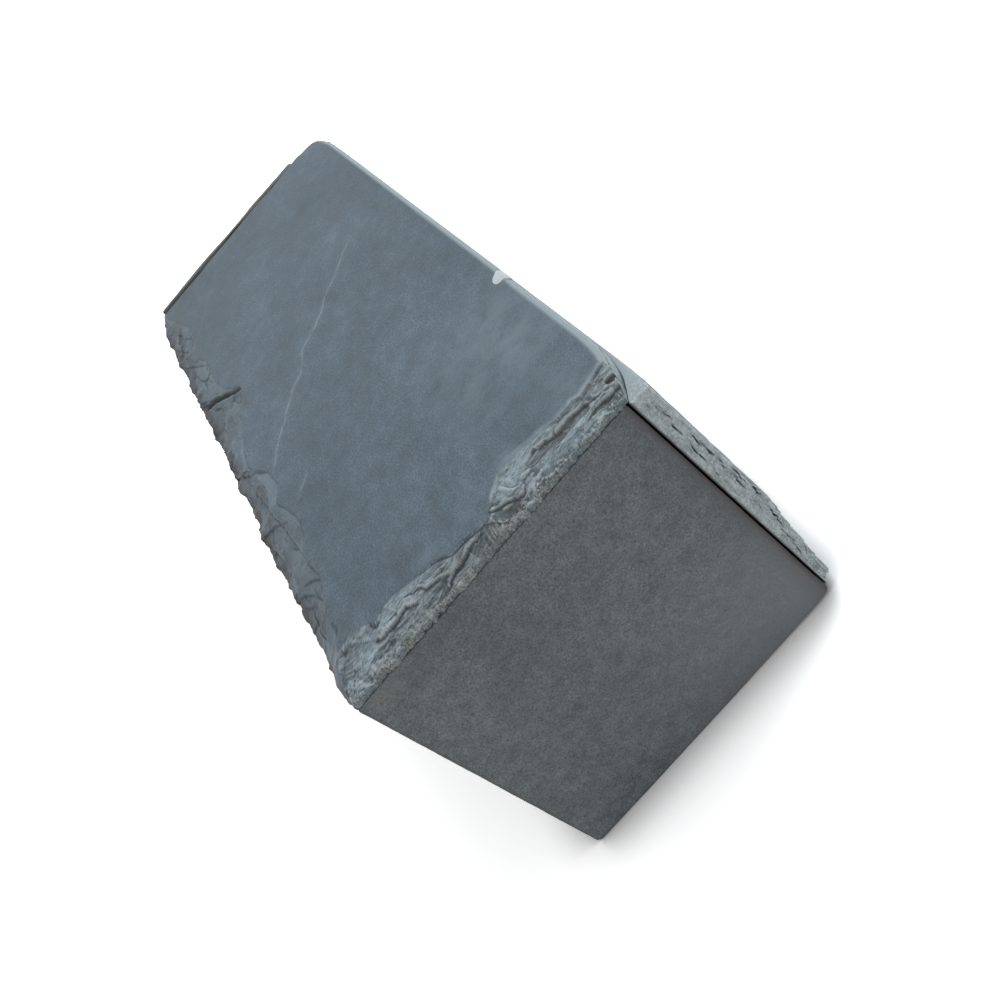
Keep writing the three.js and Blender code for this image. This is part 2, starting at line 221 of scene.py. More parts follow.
def cell_value(cells, seed):
    """A repeatable number from -1 to 1 for each whole-number cell."""
    mixed = np.full(cells.shape[:-1], seed * 40503 + 977, np.int64)
    for axis, factor in enumerate((73856093, 19349663, 83492791)):
        mixed ^= cells[..., axis] * factor
    mixed = (mixed ^ (mixed >> 13)) * 1274126177 & 0xFFFFFFFF
    mixed = (mixed ^ (mixed >> 15)) * 668265263 & 0xFFFFFFFF
    return ((mixed ^ (mixed >> 16)) & 0xFFFFFF) / 0x7FFFFF - 1


def held(values):
    """Values kept from 0 to 1."""
    return np.clip(values, 0, 1)


def lumps(points, size, seed):
    """Smooth noise from -1 to 1 over an array of points, with lumps of this size."""
    scaled = points / size
    low = np.floor(scaled).astype(np.int64)
    part = scaled - low
    part = part * part * (3 - 2 * part)
    total = np.zeros(points.shape[:-1])
    for corner in np.ndindex(2, 2, 2):
        weight = np.ones(points.shape[:-1])
        for axis, step in enumerate(corner):
            weight = weight * (part[..., axis] if step else 1 - part[..., axis])
        total += weight * cell_value(low + np.array(corner), seed)
    return total


def flat_at(first, second):
    """Points on a plane, to take noise at."""
    return np.stack([first, second, 0 * first], -1)


def rough(points, size, octaves, seed):
    """Lumps on lumps, each half the size and half the height of the last."""
    total = sum(lumps(points, size / 2 ** i, seed + i) / 2 ** i for i in range(octaves))
    return total / (2 - 0.5 ** (octaves - 1))


def steps_between(low, high, fine, coarse, reach_low, reach_high):
    """Grid lines from low to high: fine near the ends named, coarse between."""
    lines = [low]
    while lines[-1] < high - fine:
        from_end = min(lines[-1] - low - reach_low, high - reach_high - lines[-1])
        lines.append(lines[-1] + min(coarse, fine + max(0, from_end) * 0.35))
    lines[-1] = high
    return np.array(lines)


def block_grid(xs, ys, zs):
    """The skin of a block cut by grid lines: its points, and its faces pointing out."""
    count = (len(xs), len(ys), len(zs))
    number = np.full(count, -1, np.int64)
    edge = np.zeros(count, bool)
    edge[[0, -1], :, :] = True
    edge[:, [0, -1], :] = True
    edge[:, :, [0, -1]] = True
    number[edge] = np.arange(edge.sum())
    i, j, k = np.nonzero(edge)
    points = np.stack([xs[i], ys[j], zs[k]], -1)
    faces = []
    for axis in range(3):
        for end in (0, -1):
            sheet = np.take(number, end, axis)
            quads = np.stack([sheet[:-1, :-1], sheet[1:, :-1], sheet[1:, 1:], sheet[:-1, 1:]], -1)
            quads = quads.reshape(-1, 4)
            outward = (end == -1) != (axis == 1)
            faces.append(quads if outward else quads[:, ::-1])
    return points, np.concatenate(faces)


def eased(points, low, high, radius):
    """Rounds a block's arrises to a radius, which may differ from point to point."""
    radius = np.broadcast_to(radius, points.shape[:1])[:, None]
    core = np.clip(points, low + radius, high - radius)
    away = points - core
    length = np.linalg.norm(away, axis=1, keepdims=True)
    return np.where(length > radius, core + away * radius / np.maximum(length, 1e-9), points)


def placed(name, data):
    """Puts an object into the scene."""
    made = bpy.data.objects.new(name, data)
    bpy.context.scene.collection.objects.link(made)
    return made


def stone_piece(name, points, faces, material, values=None, crease=32):
    """Makes a slab's mesh from points in millimetres, with its named values."""
    mesh = bpy.data.meshes.new(name)
    mesh.from_pydata((points * MM).tolist(), [], [list(map(int, face)) for face in faces])
    for attribute, numbers in (values or {}).items():
        made = mesh.attributes.new(attribute, "FLOAT", "POINT")
        made.data.foreach_set("value", numbers.astype(np.float32))
    mesh.shade_smooth()
    mesh.set_sharp_from_angle(angle=math.radians(crease))
    mesh.materials.append(material)
    return placed(name, mesh)


def room(name):
    """A packed slab's lowest and highest corner, in millimetres."""
    low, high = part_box(name)
    return np.array(low) / MM, np.array(high) / MM


def worn_slab(low, high, thin, seed, fine=0.5, coarse=3.0, wear=0.7, swell=0.12):
    """A slab with worn arrises and the faint swell of a cleft face; thin is its thin axis."""
    lines = []
    for axis in range(3):
        if axis == thin:
            lines.append(np.linspace(low[axis], high[axis], 9))
        else:
            lines.append(steps_between(low[axis], high[axis], fine, coarse, 3, 3))
    points, faces = block_grid(*lines)
    radius = wear * (0.75 + 0.45 * rough(points, 5, 3, seed))
    worn = eased(points, low, high, np.clip(radius, 0.12, 2 * wear))
    inside = np.minimum(points - low, high - points)
    flat = np.sort(inside, axis=1)[:, 1]
    share = held(flat / 6)
    outward = np.where(points[:, thin] > (low[thin] + high[thin]) / 2, 1, -1)
    worn[:, thin] -= outward * share * swell * (1 + rough(points, 30, 4, seed + 9))
    return worn, faces, flat


low, high = room("left_side_slab")
points, faces, _ = worn_slab(low, high, 0, seed=3)
left_slate = slate_finish("left_slate", (0.13, 0.15, 0.16), (0.17, 0.185, 0.19), 0.6, 0.16, 0.25, 0.25)
left_side = stone_piece("left_side", points, faces, left_slate)
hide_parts("left_side_slab")
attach(left_side, "root")

# ------------------------------------------------------------- front slab
# The square slab that closes the front, sawn with slightly rounded corners.
# Dark slate, smooth, with painted shade along its left, lower and joint arrises,
# a painted shadow from the proud right slab beside their joint, and painted
# light towards its lower right corner.


def rounded_corners(points, low, high, axes, radius):
    """Rounds the lower corners of a slab's outline in the plane of two axes, and eases the upper."""
    radius = np.where(points[:, axes[1]] > (low + high)[axes[1]] / 2, 0.5, radius)
    near = [np.clip(points[:, a], low[a] + radius, high[a] - radius) for a in axes]
    away = [points[:, a] - near[n] for n, a in enumerate(axes)]
    square = np.maximum(np.abs(away[0]), np.abs(away[1]))
    true = np.hypot(away[0], away[1])
    share = square / np.maximum(true, 1e-9)
    moved = points.copy()
    for n, a in enumerate(axes):
        moved[:, a] = near[n] + away[n] * np.where(true > 0, share, 1)
    return moved


FRONT_CORNER = 1.8
low, high = room("front_slab")
points, faces, flat = worn_slab(low, high, 1, seed=11, fine=0.35, coarse=1.6, wear=0.55)
from_low, from_high = points - low, high - points
from_joint = from_high[:, 0]
# How far the painted shadow of the proud right slab reaches across the front.
joint_shadow_reach = 8 + 4 * rough(points, 14, 4, 17)
front_rim = np.minimum.reduce([from_low[:, 0], from_low[:, 2], from_joint])
values = {
    # painted shade, dark brown, along the left, lower and joint arrises
    "rim_shade": held(1 - front_rim / 1.2),
    # painted shadow cast by the proud right slab, darkest in the joint itself
    "joint_shadow": 0.75 * held(1 - from_joint / joint_shadow_reach) ** 1.5 + 0.45 * held(1 - from_joint / 2),
    # painted light from the floor, towards the lower right corner
    "floor_bounce_light": held((points[:, 0] + 25) / 70) * held((55 - points[:, 2]) / 55),
    # paler and warmer near the top left corner, under the lid's edge
    "top_left_pale": held(1 - np.hypot((points[:, 0] + 45) / 9, (points[:, 2] - 98) / 5)),
}
points = rounded_corners(points, low, high, (0, 2), FRONT_CORNER)
lift = np.interp(points[:, 0], [-50, -31, 7, 24, 41, 49], [0.3, 0, 0, 0.4, 0.7, 1.4])
points[:, 2] += lift * held(1 - (points[:, 2] - low[2]) / 12)
front_slate = slate_finish(
    "front_slate", (0.115, 0.133, 0.142), (0.158, 0.177, 0.185), 0.9, 0.34, 0.45, 0.12)


def marked(tree, value):
    """A piece's named value."""
    return node(tree, "ShaderNodeAttribute", attribute_name=value).outputs["Fac"]


def painted(tree, share, colour, kind="MIX"):
    """Brings another colour, or a grey to darken by, over a finish's stone."""
    target = tree.nodes["Principled BSDF"].inputs["Base Color"]
    over = (*colour, 1) if isinstance(colour, tuple) else colour
    tree.links.new(blend_colour(tree, share, target.links[0].from_socket, over, kind), target)


def stained(material, value, colour, strength):
    """Lets a piece's named value bring another colour into its stone."""
    tree = material.node_tree
    painted(tree, times(tree, marked(tree, value), strength), colour)


# Painted shade, dark brown, along the arrises.
stained(front_slate, "rim_shade", (0.05, 0.035, 0.022), 0.75)
# Painted light from the floor, lighter towards the lower right corner.
stained(front_slate, "floor_bounce_light", (0.21, 0.225, 0.235), 0.9)
# Painted shadow of the proud right slab beside their joint.
stained(front_slate, "joint_shadow", (0.07, 0.062, 0.064), 0.8)
# Paler and warmer near the top left corner, under the lid's edge.
stained(front_slate, "top_left_pale", (0.21, 0.215, 0.195), 0.4)
front_piece = stone_piece("front", points, faces, front_slate, values)
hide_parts("front_slab")
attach(front_piece, "root")

# ------------------------------------------------------------- back slab
# The slab that closes the far end, bedded slightly askew. It stands as high as
# the lid, and its upper edge is snapped, not sawn, so the layers of the stone
# show there. Its upper right corner has broken away.

BACK_TURN = math.radians(-2)
BACK_HALF = (49.95, 3.15)    # half its length and half its thickness, measured along itself
SNAPPED_HIGH = 9             # how far down the broken upper edge can reach
BACK_LAYER = 1.05
low, high = room("back_slab")
back_middle = np.array([(low[0] + high[0]) / 2, (low[1] + high[1]) / 2, 0])
low = np.array([-BACK_HALF[0], -BACK_HALF[1], 0])
high = np.array([*BACK_HALF, high[2]])
xs = steps_between(low[0], high[0], 0.5, 0.9, 3, 3)
ys = np.linspace(low[1], high[1], 15)
whole_zs = steps_between(0, high[2] - SNAPPED_HIGH, 0.6, 3, 0, 0)
zs = np.concatenate([whole_zs, high[2] - np.linspace(8.6, 0, 22)])
points, faces = block_grid(xs, ys, zs)
start = points.copy()
points = eased(points, low, high, 0.35 + 0.2 * rough(points, 4, 3, 21))
across = start[:, 0]
from_right = high[0] - across
snapped = np.interp(from_right, [0, 2, 2.3, 6, 6.4, 10, 11.4], [6.6, 6.4, 5, 4.6, 2.6, 2.2, 0])
layer = np.floor((start[:, 1] - low[1]) / BACK_LAYER + 0.6 * lumps(start, 18, 31))
layer_place = flat_at(across, layer * 37.0)
ragged = 0.55 + 0.75 * rough(layer_place, 9, 4, 33) + 0.25 * rough(start, 1.6, 2, 34)
inner_half = held((0.2 - start[:, 1]) / 1.1 + 0.4 * lumps(start, 7, 37))
outer_half = np.interp(across, [-50, -18, -4, 14, 32], [0, 0, 0.3, 0.5, 1.1])
layers_down = np.clip(ragged, 0, 2.4)
lowered = snapped + outer_half + 0.25 * layers_down + inner_half * (2.4 + 0.75 * layers_down)
share = held((start[:, 2] - (high[2] - SNAPPED_HIGH)) / SNAPPED_HIGH)
points[:, 2] -= lowered * share
bulge = 0.9 * rough(flat_at(across, 0 * across), 16, 3, 35)
points[:, 1] += np.where(start[:, 1] > 0, bulge, 0) * share
values = {
    # painted shade in the hollows of the snapped top and over its inner half, which the lid shades
    "hollow_shade": np.maximum(held(ragged - 0.5), inner_half) * (share > 0.5),
    # lighter towards the outer face along the snapped top
    "outer_top_lighter": held((start[:, 1] - 0.5) / 2.5) * held(share * 1.6 - 0.3 + 0.5 * rough(start, 7, 4, 36)),
}
turned_x, turned_y = math.cos(BACK_TURN), math.sin(BACK_TURN)
turn = np.array([[turned_x, -turned_y], [turned_y, turned_x]])
points[:, :2] = points[:, :2] @ turn.T
points += back_middle
back_slate = slate_finish("back_slate", (0.1, 0.108, 0.098), (0.15, 0.16, 0.14), 0.6, 0.2, 0.2, 0.4)
# Painted shade in the hollows and under the lid.
stained(back_slate, "hollow_shade", (0.03, 0.03, 0.026), 0.8)
# Lighter towards the outer face along the snapped top.
stained(back_slate, "outer_top_lighter", (0.16, 0.17, 0.145), 0.6)
back_piece = stone_piece("back", points, faces, back_slate, values)
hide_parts("back_slab")
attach(back_piece, "root")

# ------------------------------------------------------------- right side slab
# The other long wall stands proud of the front. Its front edge was split, not
# sawn: the parted layers, slits and grey-white bruised stone show there, and
# its lower corner has broken off. A spall has left its outer face.

low, high = room("right_side_slab")
RIGHT_THICK = high[0] - low[0]
RIGHT_LAYER = 0.75       # how thick the layers are that parted at its front edge
BEVEL = 1.6
xs = np.linspace(low[0], high[0], 35)
ys = steps_between(low[1], high[1], 0.3, 5, 3, 0.5)
zs = steps_between(low[2], high[2], 0.3, 0.3, 0, 0)
points, faces = block_grid(xs, ys, zs)
start = points.copy()
depth_in = start[:, 0] - low[0]
height = start[:, 2]
behind = start[:, 1] - low[1]
points = eased(points, low, high, 0.5 + 0.2 * rough(points, 5, 3, 41))
edge_place = flat_at(depth_in, height)
wander = depth_in + 0.6 * rough(edge_place * (0.2, 1, 1), 12, 4, 42)
layer = np.floor(wander / RIGHT_LAYER)
layer_place = flat_at(layer * 41.0, height)
relief = 0.6 + 0.9 * rough(layer_place, 6, 5, 43) + 0.8 * rough(edge_place, 2.2, 5, 44)
relief += 0.9 * np.abs(lumps(edge_place / (2.6, 4.5, 1), 1, 45)) * held((4 - depth_in) / 1.5)
# Slits where the layers have parted: how deep in, from which height to which, how wide.
slits = [
    (3.9, 101, 105, 0.3), (3.3, 92, 98, 0.3), (4.6, 89, 97, 0.35), (3.2, 83, 89, 0.3),
    (5, 76, 82, 0.45), (5.5, 66, 78, 0.4), (4.9, 54, 67, 0.45), (6.6, 45, 55, 0.4),
    (5.4, 34, 46, 0.45), (2.9, 71, 79, 0.25), (2.8, 19, 25, 0.3), (4.2, 27, 35, 0.3),
    (6.2, 56, 64, 0.3), (2.1, 60, 66, 0.25), (3.6, 44, 50, 0.25), (5.9, 20, 30, 0.35),
]
gap = np.zeros(len(start))
for place, bottom, top, width in slits:
    middle = place + 0.5 * rough(edge_place, 4, 3, 47)
    ends = held(1 - np.abs(height - (bottom + top) / 2) / ((top - bottom) / 2)) ** 0.5
    ragged_width = 0.7 * width * (1 + 0.9 * rough(edge_place, 1.5, 3, 48))
    gap = np.maximum(gap, held(1.3 - np.abs(wander - middle) / ragged_width) * ends)
gap *= held(0.7 + 1.6 * rough(edge_place, 3, 3, 50))
bevel = held((depth_in - RIGHT_THICK + BEVEL) / BEVEL) ** 1.5
bevel *= np.clip((height - 40) / 25 + 0.3 * lumps(edge_place, 9, 49), 0.25, 1)
relief = relief * np.clip((RIGHT_THICK - depth_in) / 1.2, 0.25, 1) + 2.2 * gap + 1.4 * bevel
relief += 0.9 * held(1 - depth_in / 0.9) ** 2
fade = held(1 - behind / 7) ** 2
points[:, 1] += 0.75 * np.clip(relief, 0, 4.5) * fade
broken = np.interp(height, [0, 2.6, 4.4, 6, 9, 15], [15, 9, 6, 3, 0.8, 0])
broken = broken * (0.3 + 0.7 * held(depth_in / RIGHT_THICK))
points[:, 1] += broken * held(1 - behind / 60)
spall = 3.1 * held(1 - (behind / 58) ** 2 - (height / 39) ** 2) ** 0.6
spall += 0.5 * held(1 - behind / 12)
plate_place = flat_at(behind, height)
notches = held(rough(plate_place, 5, 4, 53) - 0.05) * held(1 - behind / 9)
spall += 1.6 * notches * held((80 - height) / 30)
terrace = spall + 0.35 * rough(plate_place, 9, 4, 51) * held(spall)
spall = 0.5 * terrace + 0.5 * np.round(terrace / 0.6) * 0.6
spall = np.clip(spall + 0.1 * (1 + rough(plate_place, 25, 4, 52)), 0, 5)
points[:, 0] -= depth_in / RIGHT_THICK * spall * (start[:, 0] > low[0])
worn_back = held((behind - (high[1] - low[1]) + 14) / 14) * held((height - 92) / 9)
points[:, 0] -= 2.2 * worn_back ** 2 * held(depth_in / RIGHT_THICK)
points[:, 1] -= 2 * worn_back ** 2
split = held(1 - behind / 0.2)
top_strip = held((height - high[2] + 0.4) / 0.3)
values = {
    "split": np.maximum(split, top_strip * held(1.1 - behind / 20)),
    # painted shade, near black, in the slits where the layers parted
    "gap": gap * split,
    # painted shade where the split edge lies deepest
    "sunk": held((relief - 2.2) / 1.2) * split * (1 - bevel),
    # painted shade in the joint, on the inner side of the front edge
    "joint_shadow": held(1 - depth_in / 0.8) * (behind < 5),
    # painted light on the outer front bevel and the top strip, which face the lamp
    "pale": np.maximum(held(bevel * 1.5) * split, 0.8 * top_strip),
}
right_slate = slate_finish("right_slate", (0.2, 0.235, 0.25), (0.24, 0.265, 0.27), 0.6, 0.14, 0.15, 0.2)


def crushed_stone_group():
    """Stone crushed by a blow: pale flecks over dark, laid on other stone by a share."""
    group, given, result = node_group("crushed_stone", "ShaderNodeTree", [
        ("Colour", "Color", (0.2, 0.2, 0.2, 1)), ("Share", "Float", 1.0),
        ("Dark", "Color", (0.07, 0.07, 0.062, 1)), ("Light", "Color", (0.4, 0.41, 0.37, 1)),
    ], [("Colour", "Color"), ("Height", "Float")])
    place = object_place(group)
    flecks = noise_at(group, place, 0.85, 6, 0.72)
    patches = noise_at(group, place, 4, 3)
    light = sums(group, "ADD", flecks, times(group, patches, 0.35))
    light = spread(group, light, 0.62, 0.74, 0, 1)
    stone = blend_colour(group, light, given.outputs["Dark"], given.outputs["Light"])
    cover = sums(group, "ADD", given.outputs["Share"], times(group, flecks, 0.8))
    cover = spread(group, cover, 0.62, 1.0, 0, 0.8)
    group.links.new(blend_colour(group, cover, given.outputs["Colour"], stone), result.inputs["Colour"])
    group.links.new(times(group, flecks, cover), result.inputs["Height"])
    return group


crushed_stone = crushed_stone_group()


def crushed(material, value, strength, dark, light, relief):
    """Lets a piece's named value bring crushed stone into its finish."""
    tree = material.node_tree
    target = tree.nodes["Principled BSDF"].inputs["Base Color"]
    crush = node(tree, "ShaderNodeGroup", node_tree=crushed_stone, name="crush")
    tree.links.new(times(tree, marked(tree, value), strength), crush.inputs["Share"])
    crush.inputs["Dark"].default_value = (*dark, 1)
    crush.inputs["Light"].default_value = (*light, 1)
    tree.links.new(target.links[0].from_socket, crush.inputs["Colour"])
    tree.links.new(crush.outputs["Colour"], target)
    raised(tree, crush.outputs["Height"], relief)


stained(right_slate, "split", (0.52, 0.6, 0.62), 0.95)
# Painted light on the outer front bevel and the top strip.
stained(right_slate, "pale", (0.46, 0.56, 0.61), 0.8)
crushed(right_slate, "split", 0.5, (0.29, 0.315, 0.315), (0.7, 0.78, 0.79), 0.32)
# Painted shade where the split edge lies deepest.
stained(right_slate, "sunk", (0.2, 0.205, 0.19), 0.6)
# Painted shade in the slits.
stained(right_slate, "gap", (0.02, 0.02, 0.02), 1.0)
# Painted shade in the joint beside the front slab.
stained(right_slate, "joint_shadow", (0.03, 0.026, 0.024), 0.9)
right_piece = stone_piece("right_side", points, faces, right_slate, values, crease=24)
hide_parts("right_side_slab")
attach(right_piece, "root")

# ------------------------------------------------------------- lid
# The slab that closes the top. Its right edge is smooth and rounded. The front and
# left edges are dressed by hand: each blow of the slater's knife struck off a flake
# like a shell, and left ledges of layered stone down to a thin, crumbling arris.

lid_low, lid_high = room("top_slab")
LID_THICK = lid_high[2] - lid_low[2]
BAND = 22                # how far in the worked band of the front edge can reach
ARRIS = 2.6
BED = 0.4                # how far the lid's underside is pressed into its bed of glue
EDGE_STONE = 0.55        # what the flakes leave of the thickness at the edge


def smooth_line(points, spacing):
    """A flowing line through the points, with a point at each spacing."""
    points = np.array(points, float)
    padded = np.concatenate([2 * points[:1] - points[1:2], points, 2 * points[-1:] - points[-2:-1]])
    made = []
    for before, a, b, after in zip(padded[:-3], padded[1:-2], padded[2:-1], padded[3:]):
        count = max(1, int(round(np.hypot(*(b - a)[:2]) / spacing)))
        for t in np.arange(count)[:, None] / count:
            made.append(0.5 * (2 * a + (b - before) * t + (2 * before - 5 * a + 4 * b - after) * t ** 2
                               + (3 * a - before - 3 * b + after) * t ** 3))
    return np.concatenate([np.array(made), points[-1:]])


def strewn(line, count, closing=0.0):
    """Points along a line, its last one left out, set closer towards its end by a share."""
    line = np.array(line, float)
    length = np.concatenate([[0], np.cumsum(np.hypot(*np.diff(line[:, :2], axis=0).T))])
    share = np.arange(count) / count
    wanted = (share + closing * share * (1 - share)) * length[-1]
    return np.stack([np.interp(wanted, length, column) for column in line.T], -1)


left_edge = [
    (-53, 298), (-53.2, 295.4), (-54.2, 293.6), (-54.3, 288.4), (-55.5, 283), (-55.3, 273.2),
    (-56, 269.5), (-55, 262.1), (-55.9, 246.2), (-55.1, 240), (-54.7, 228), (-55.6, 216.7), (-55, 211.4),
    (-55.4, 206.8), (-55.1, 202.3), (-55.5, 200.1), (-55, 196), (-55.6, 189.5), (-55, 186.3),
    (-54.7, 180.9), (-55, 169.4), (-54.3, 162.7), (-54, 148.3), (-54.9, 138.4), (-54.4, 134.5),
    (-55.2, 131.9), (-56.2, 129.1), (-54.4, 120.9), (-54.3, 119.3), (-54.4, 113.5), (-55.1, 109.8),
    (-54.4, 101.7), (-55.1, 99.5), (-55.1, 97.7), (-56.1, 95.9), (-56.3, 93.6), (-55.2, 87.1),
    (-56, 80.7), (-54.6, 65.2), (-55.2, 63.1), (-54.7, 61.4), (-54.9, 54.4), (-54.6, 52.9),
    (-55.2, 49.9), (-55.1, 46.5), (-54.1, 39.6), (-54.4, 33.3), (-54, 24.5), (-54.2, 21.4),
    (-54.8, 20.1), (-54.3, 16.8), (-54.9, 12.6), (-54.1, 4.7), (-52.9, 0),
]
near_corner = [(50.36, 0), (52.6, 4.6), (54.4, 9), (55.5, 14), (56.1, 19), (56.4, 26)]
right_edge = [near_corner[-1], (56.45, 60), (56.6, 76), (57.0, 86), (57.0, 150)]
far_corner = [(57.0, 255), (56.7, 275), (55.9, 283), (54.8, 288.5), (52.4, 292.4), (48.9, 294.2), (45, 295)]
back_edge = [(45, 295), (35.5, 295.3), (24, 294.6), (15, 296.5), (-5, 296.6), (-19, 297.5), (-25, 296.8),
             (-35, 297.6), (-50.5, 298.2), left_edge[0]]
# Each side of the lid: its edge, the line that its worked band runs in to, and
# how many columns of the mesh cross it. The left side's close up towards the front.
LEFT_CLOSING = 0.35
sides = [
    ([left_edge[-1], near_corner[0]], [(-30, BAND), (50.5, BAND)], 480, 0),
    (smooth_line(near_corner, 0.4), [(50.5, BAND), (53.4, 30)], 84, 0),
    (right_edge + far_corner[:1], [(53.4, 30), (53.2, 250)], 36, 0),
    (smooth_line(far_corner, 0.5), [(53.2, 250), (44, 290)], 44, 0),
    (smooth_line(back_edge, 1), [(44, 290), (-34, 293.2)], 56, 0),
    (smooth_line(left_edge, 0.4), [(-34, 293.2), (-30, BAND)], 600, LEFT_CLOSING),
]
outer = np.concatenate([strewn(edge, count, closing) for edge, _, count, closing in sides])
inner = np.concatenate([strewn(edge, count, closing) for _, edge, count, closing in sides])
side = np.repeat(np.arange(6), [count for _, _, count, _ in sides])
FRONT, NEAR_CORNER, RIGHT, FAR_CORNER, _, LEFT = range(6)
struck = (side == FRONT) | (side == LEFT)
outer_place = flat_at(*outer.T)
nibbled = 0.35 + 0.6 * rough(outer_place, 1.7, 3, 66) + 0.35 * rough(outer_place, 0.7, 2, 69)
stray = (0.42 - 0.17 * (side == LEFT)) * rough(outer_place, 3.2, 4, 61) + (side == FRONT) * nibbled
nibbled = 0.4 + 0.45 * rough(outer_place, 2.6, 4, 67) + 0.3 * rough(outer_place, 1.1, 2, 68)
stray += (side == LEFT) * nibbled
run = np.roll(outer, -1, 0) - np.roll(outer, 1, 0)
inward = np.stack([-run[:, 1], run[:, 0]], -1) / np.hypot(*run.T)[:, None]
drawn = outer
outer = drawn + inward * (stray * struck)[:, None]
outer[:, 0] = np.maximum(outer[:, 0], lid_low[0] + 0.02)

# The rims of the flakes along the front and along the left edge, each walked with
# the lower stone on its right: x, distance from the front edge, and how far the
# stone drops there.
front_rim_line = [
    (-49, 23, 0), (-44.7, 20.1, 0.5), (-42.1, 17.2, 0.8), (-38.6, 15.7, 0.9), (-33.2, 9.8, 0.9),
    (-29.9, 12.4, 0.3), (-26, 12.3, 0.15), (-22.2, 10.8, 0.15), (-16.9, 9.3, 0.2), (-12.2, 8.4, 0.4),
    (-9.7, 7.2, 0.7), (-6.5, 4.9, 0.8), (-2.1, 4.4, 0.7), (3.8, 3.1, 0.6), (6.7, 3.6, 0.3),
    (9.7, 8, 0.1), (12.8, 10.8, 0.05), (17.6, 13.7, 0), (25.1, 11.8, 0), (29.9, 10.6, 0.05),
    (35, 8.6, 0.1), (39.7, 8.4, 0.2), (41.1, 8.9, 0.1), (43.7, 7.4, 0.1), (47.9, 8.5, 0.05), (53, 10.1, 0),
    (57, 12, 0),
]
left_rim_line = [
    (-50.7, 298.4, 0), (-49.6, 290, 0.1), (-47.7, 285, 0.2), (-45.4, 275, 0.2), (-41.5, 258, 0.15),
    (-42, 245, 0.25), (-44.5, 232, 0.3), (-41.6, 216, 0.3), (-42.5, 200, 0.25), (-40, 186, 0.15),
    (-34.5, 177, 0.3), (-36, 168, 0.25), (-39.7, 161, 0.3), (-41.4, 151, 0.2), (-44.1, 141, 0.3),
    (-46, 130, 0.6), (-44.6, 121, 0.7), (-40.4, 113, 0.5), (-39.6, 101, 0.45), (-42.6, 95, 0.4),
    (-40.9, 88, 0.6), (-39.1, 80, 0.5), (-38.8, 71, 0.35), (-41, 64.5, 0.4), (-43, 57, 0.35),
    (-41.2, 47, 0.4), (-42.6, 40, 0.45), (-43.8, 34, 0.45), (-44.6, 28, 0.45), (-44.6, 20, 0.4),
    (-47, 14, 0),
]


def front_reach(x):
    """How far in the rim of the front flakes is, across the lid."""
    return np.interp(x, *np.array(front_rim_line).T[:2])


def across_at(line, v):
    """Where a line that runs towards the front lies across the lid."""
    return np.interp(v, *np.array(line)[::-1, 1::-1].T)


# How far in each column's fine rows run: past the rim of its flakes.
FINE_ROWS, COARSE_ROWS = 56, 8
worked_left = (across_at(left_rim_line, outer[:, 1]) - outer[:, 0]) / (inner - outer)[:, 0]
worked = np.select([side == FRONT, side == LEFT], [front_reach(outer[:, 0]) / BAND, worked_left], 0.55)
worked = np.clip(worked * 1.08 + 0.04, 0.2, 0.96)
worked = np.convolve(np.pad(worked, 12, mode="wrap"), np.full(25, 1 / 25), mode="valid")
fine_rows = np.linspace(0, 1, FINE_ROWS)[:, None] * worked
coarse_rows = worked + np.linspace(0, 1, COARSE_ROWS + 1)[1:, None] ** 1.4 * (1 - worked)
rows = np.concatenate([fine_rows, coarse_rows])
# The grid follows the ragged outline near it, and flows smoothly further in.
OUTLINE_FADE = 5
from_outline = rows * np.hypot(*(inner - drawn).T)
near_outline = held(1 - from_outline / OUTLINE_FADE) ** 2
face = drawn + (inner - drawn) * rows[..., None] + (outer - drawn) * near_outline[..., None]
x, v = face[..., 0], face[..., 1]
flat_place = flat_at(x, v)


def patchy(size, octaves, seed):
    """Roughness over the lid's worked band."""
    return rough(flat_place, size, octaves, seed)


def nearest(x, v, line):
    """The distance of each point from a line, more than 0 on its right, and the line's value there."""
    best = np.full(x.shape, 1e9)
    signed = np.zeros(x.shape)
    value = np.zeros(x.shape)
    for (x0, v0, d0), (x1, v1, d1) in zip(line[:-1], line[1:]):
        along_x, along_v = x1 - x0, v1 - v0
        t = ((x - x0) * along_x + (v - v0) * along_v) / (along_x ** 2 + along_v ** 2)
        t = held(t)
        off_x, off_v = x - x0 - t * along_x, v - v0 - t * along_v
        distance = np.hypot(off_x, off_v)
        closer = distance < best
        sign = np.where(off_x * along_v - off_v * along_x >= 0, 1, -1)
        best = np.where(closer, distance, best)
        signed = np.where(closer, distance * sign, signed)
        value = np.where(closer, d0 + t * (d1 - d0), value)
    return signed, value


def eased_step(t):
    """0 to 1 with soft ends."""
    t = held(t)
    return t * t * (3 - 2 * t)


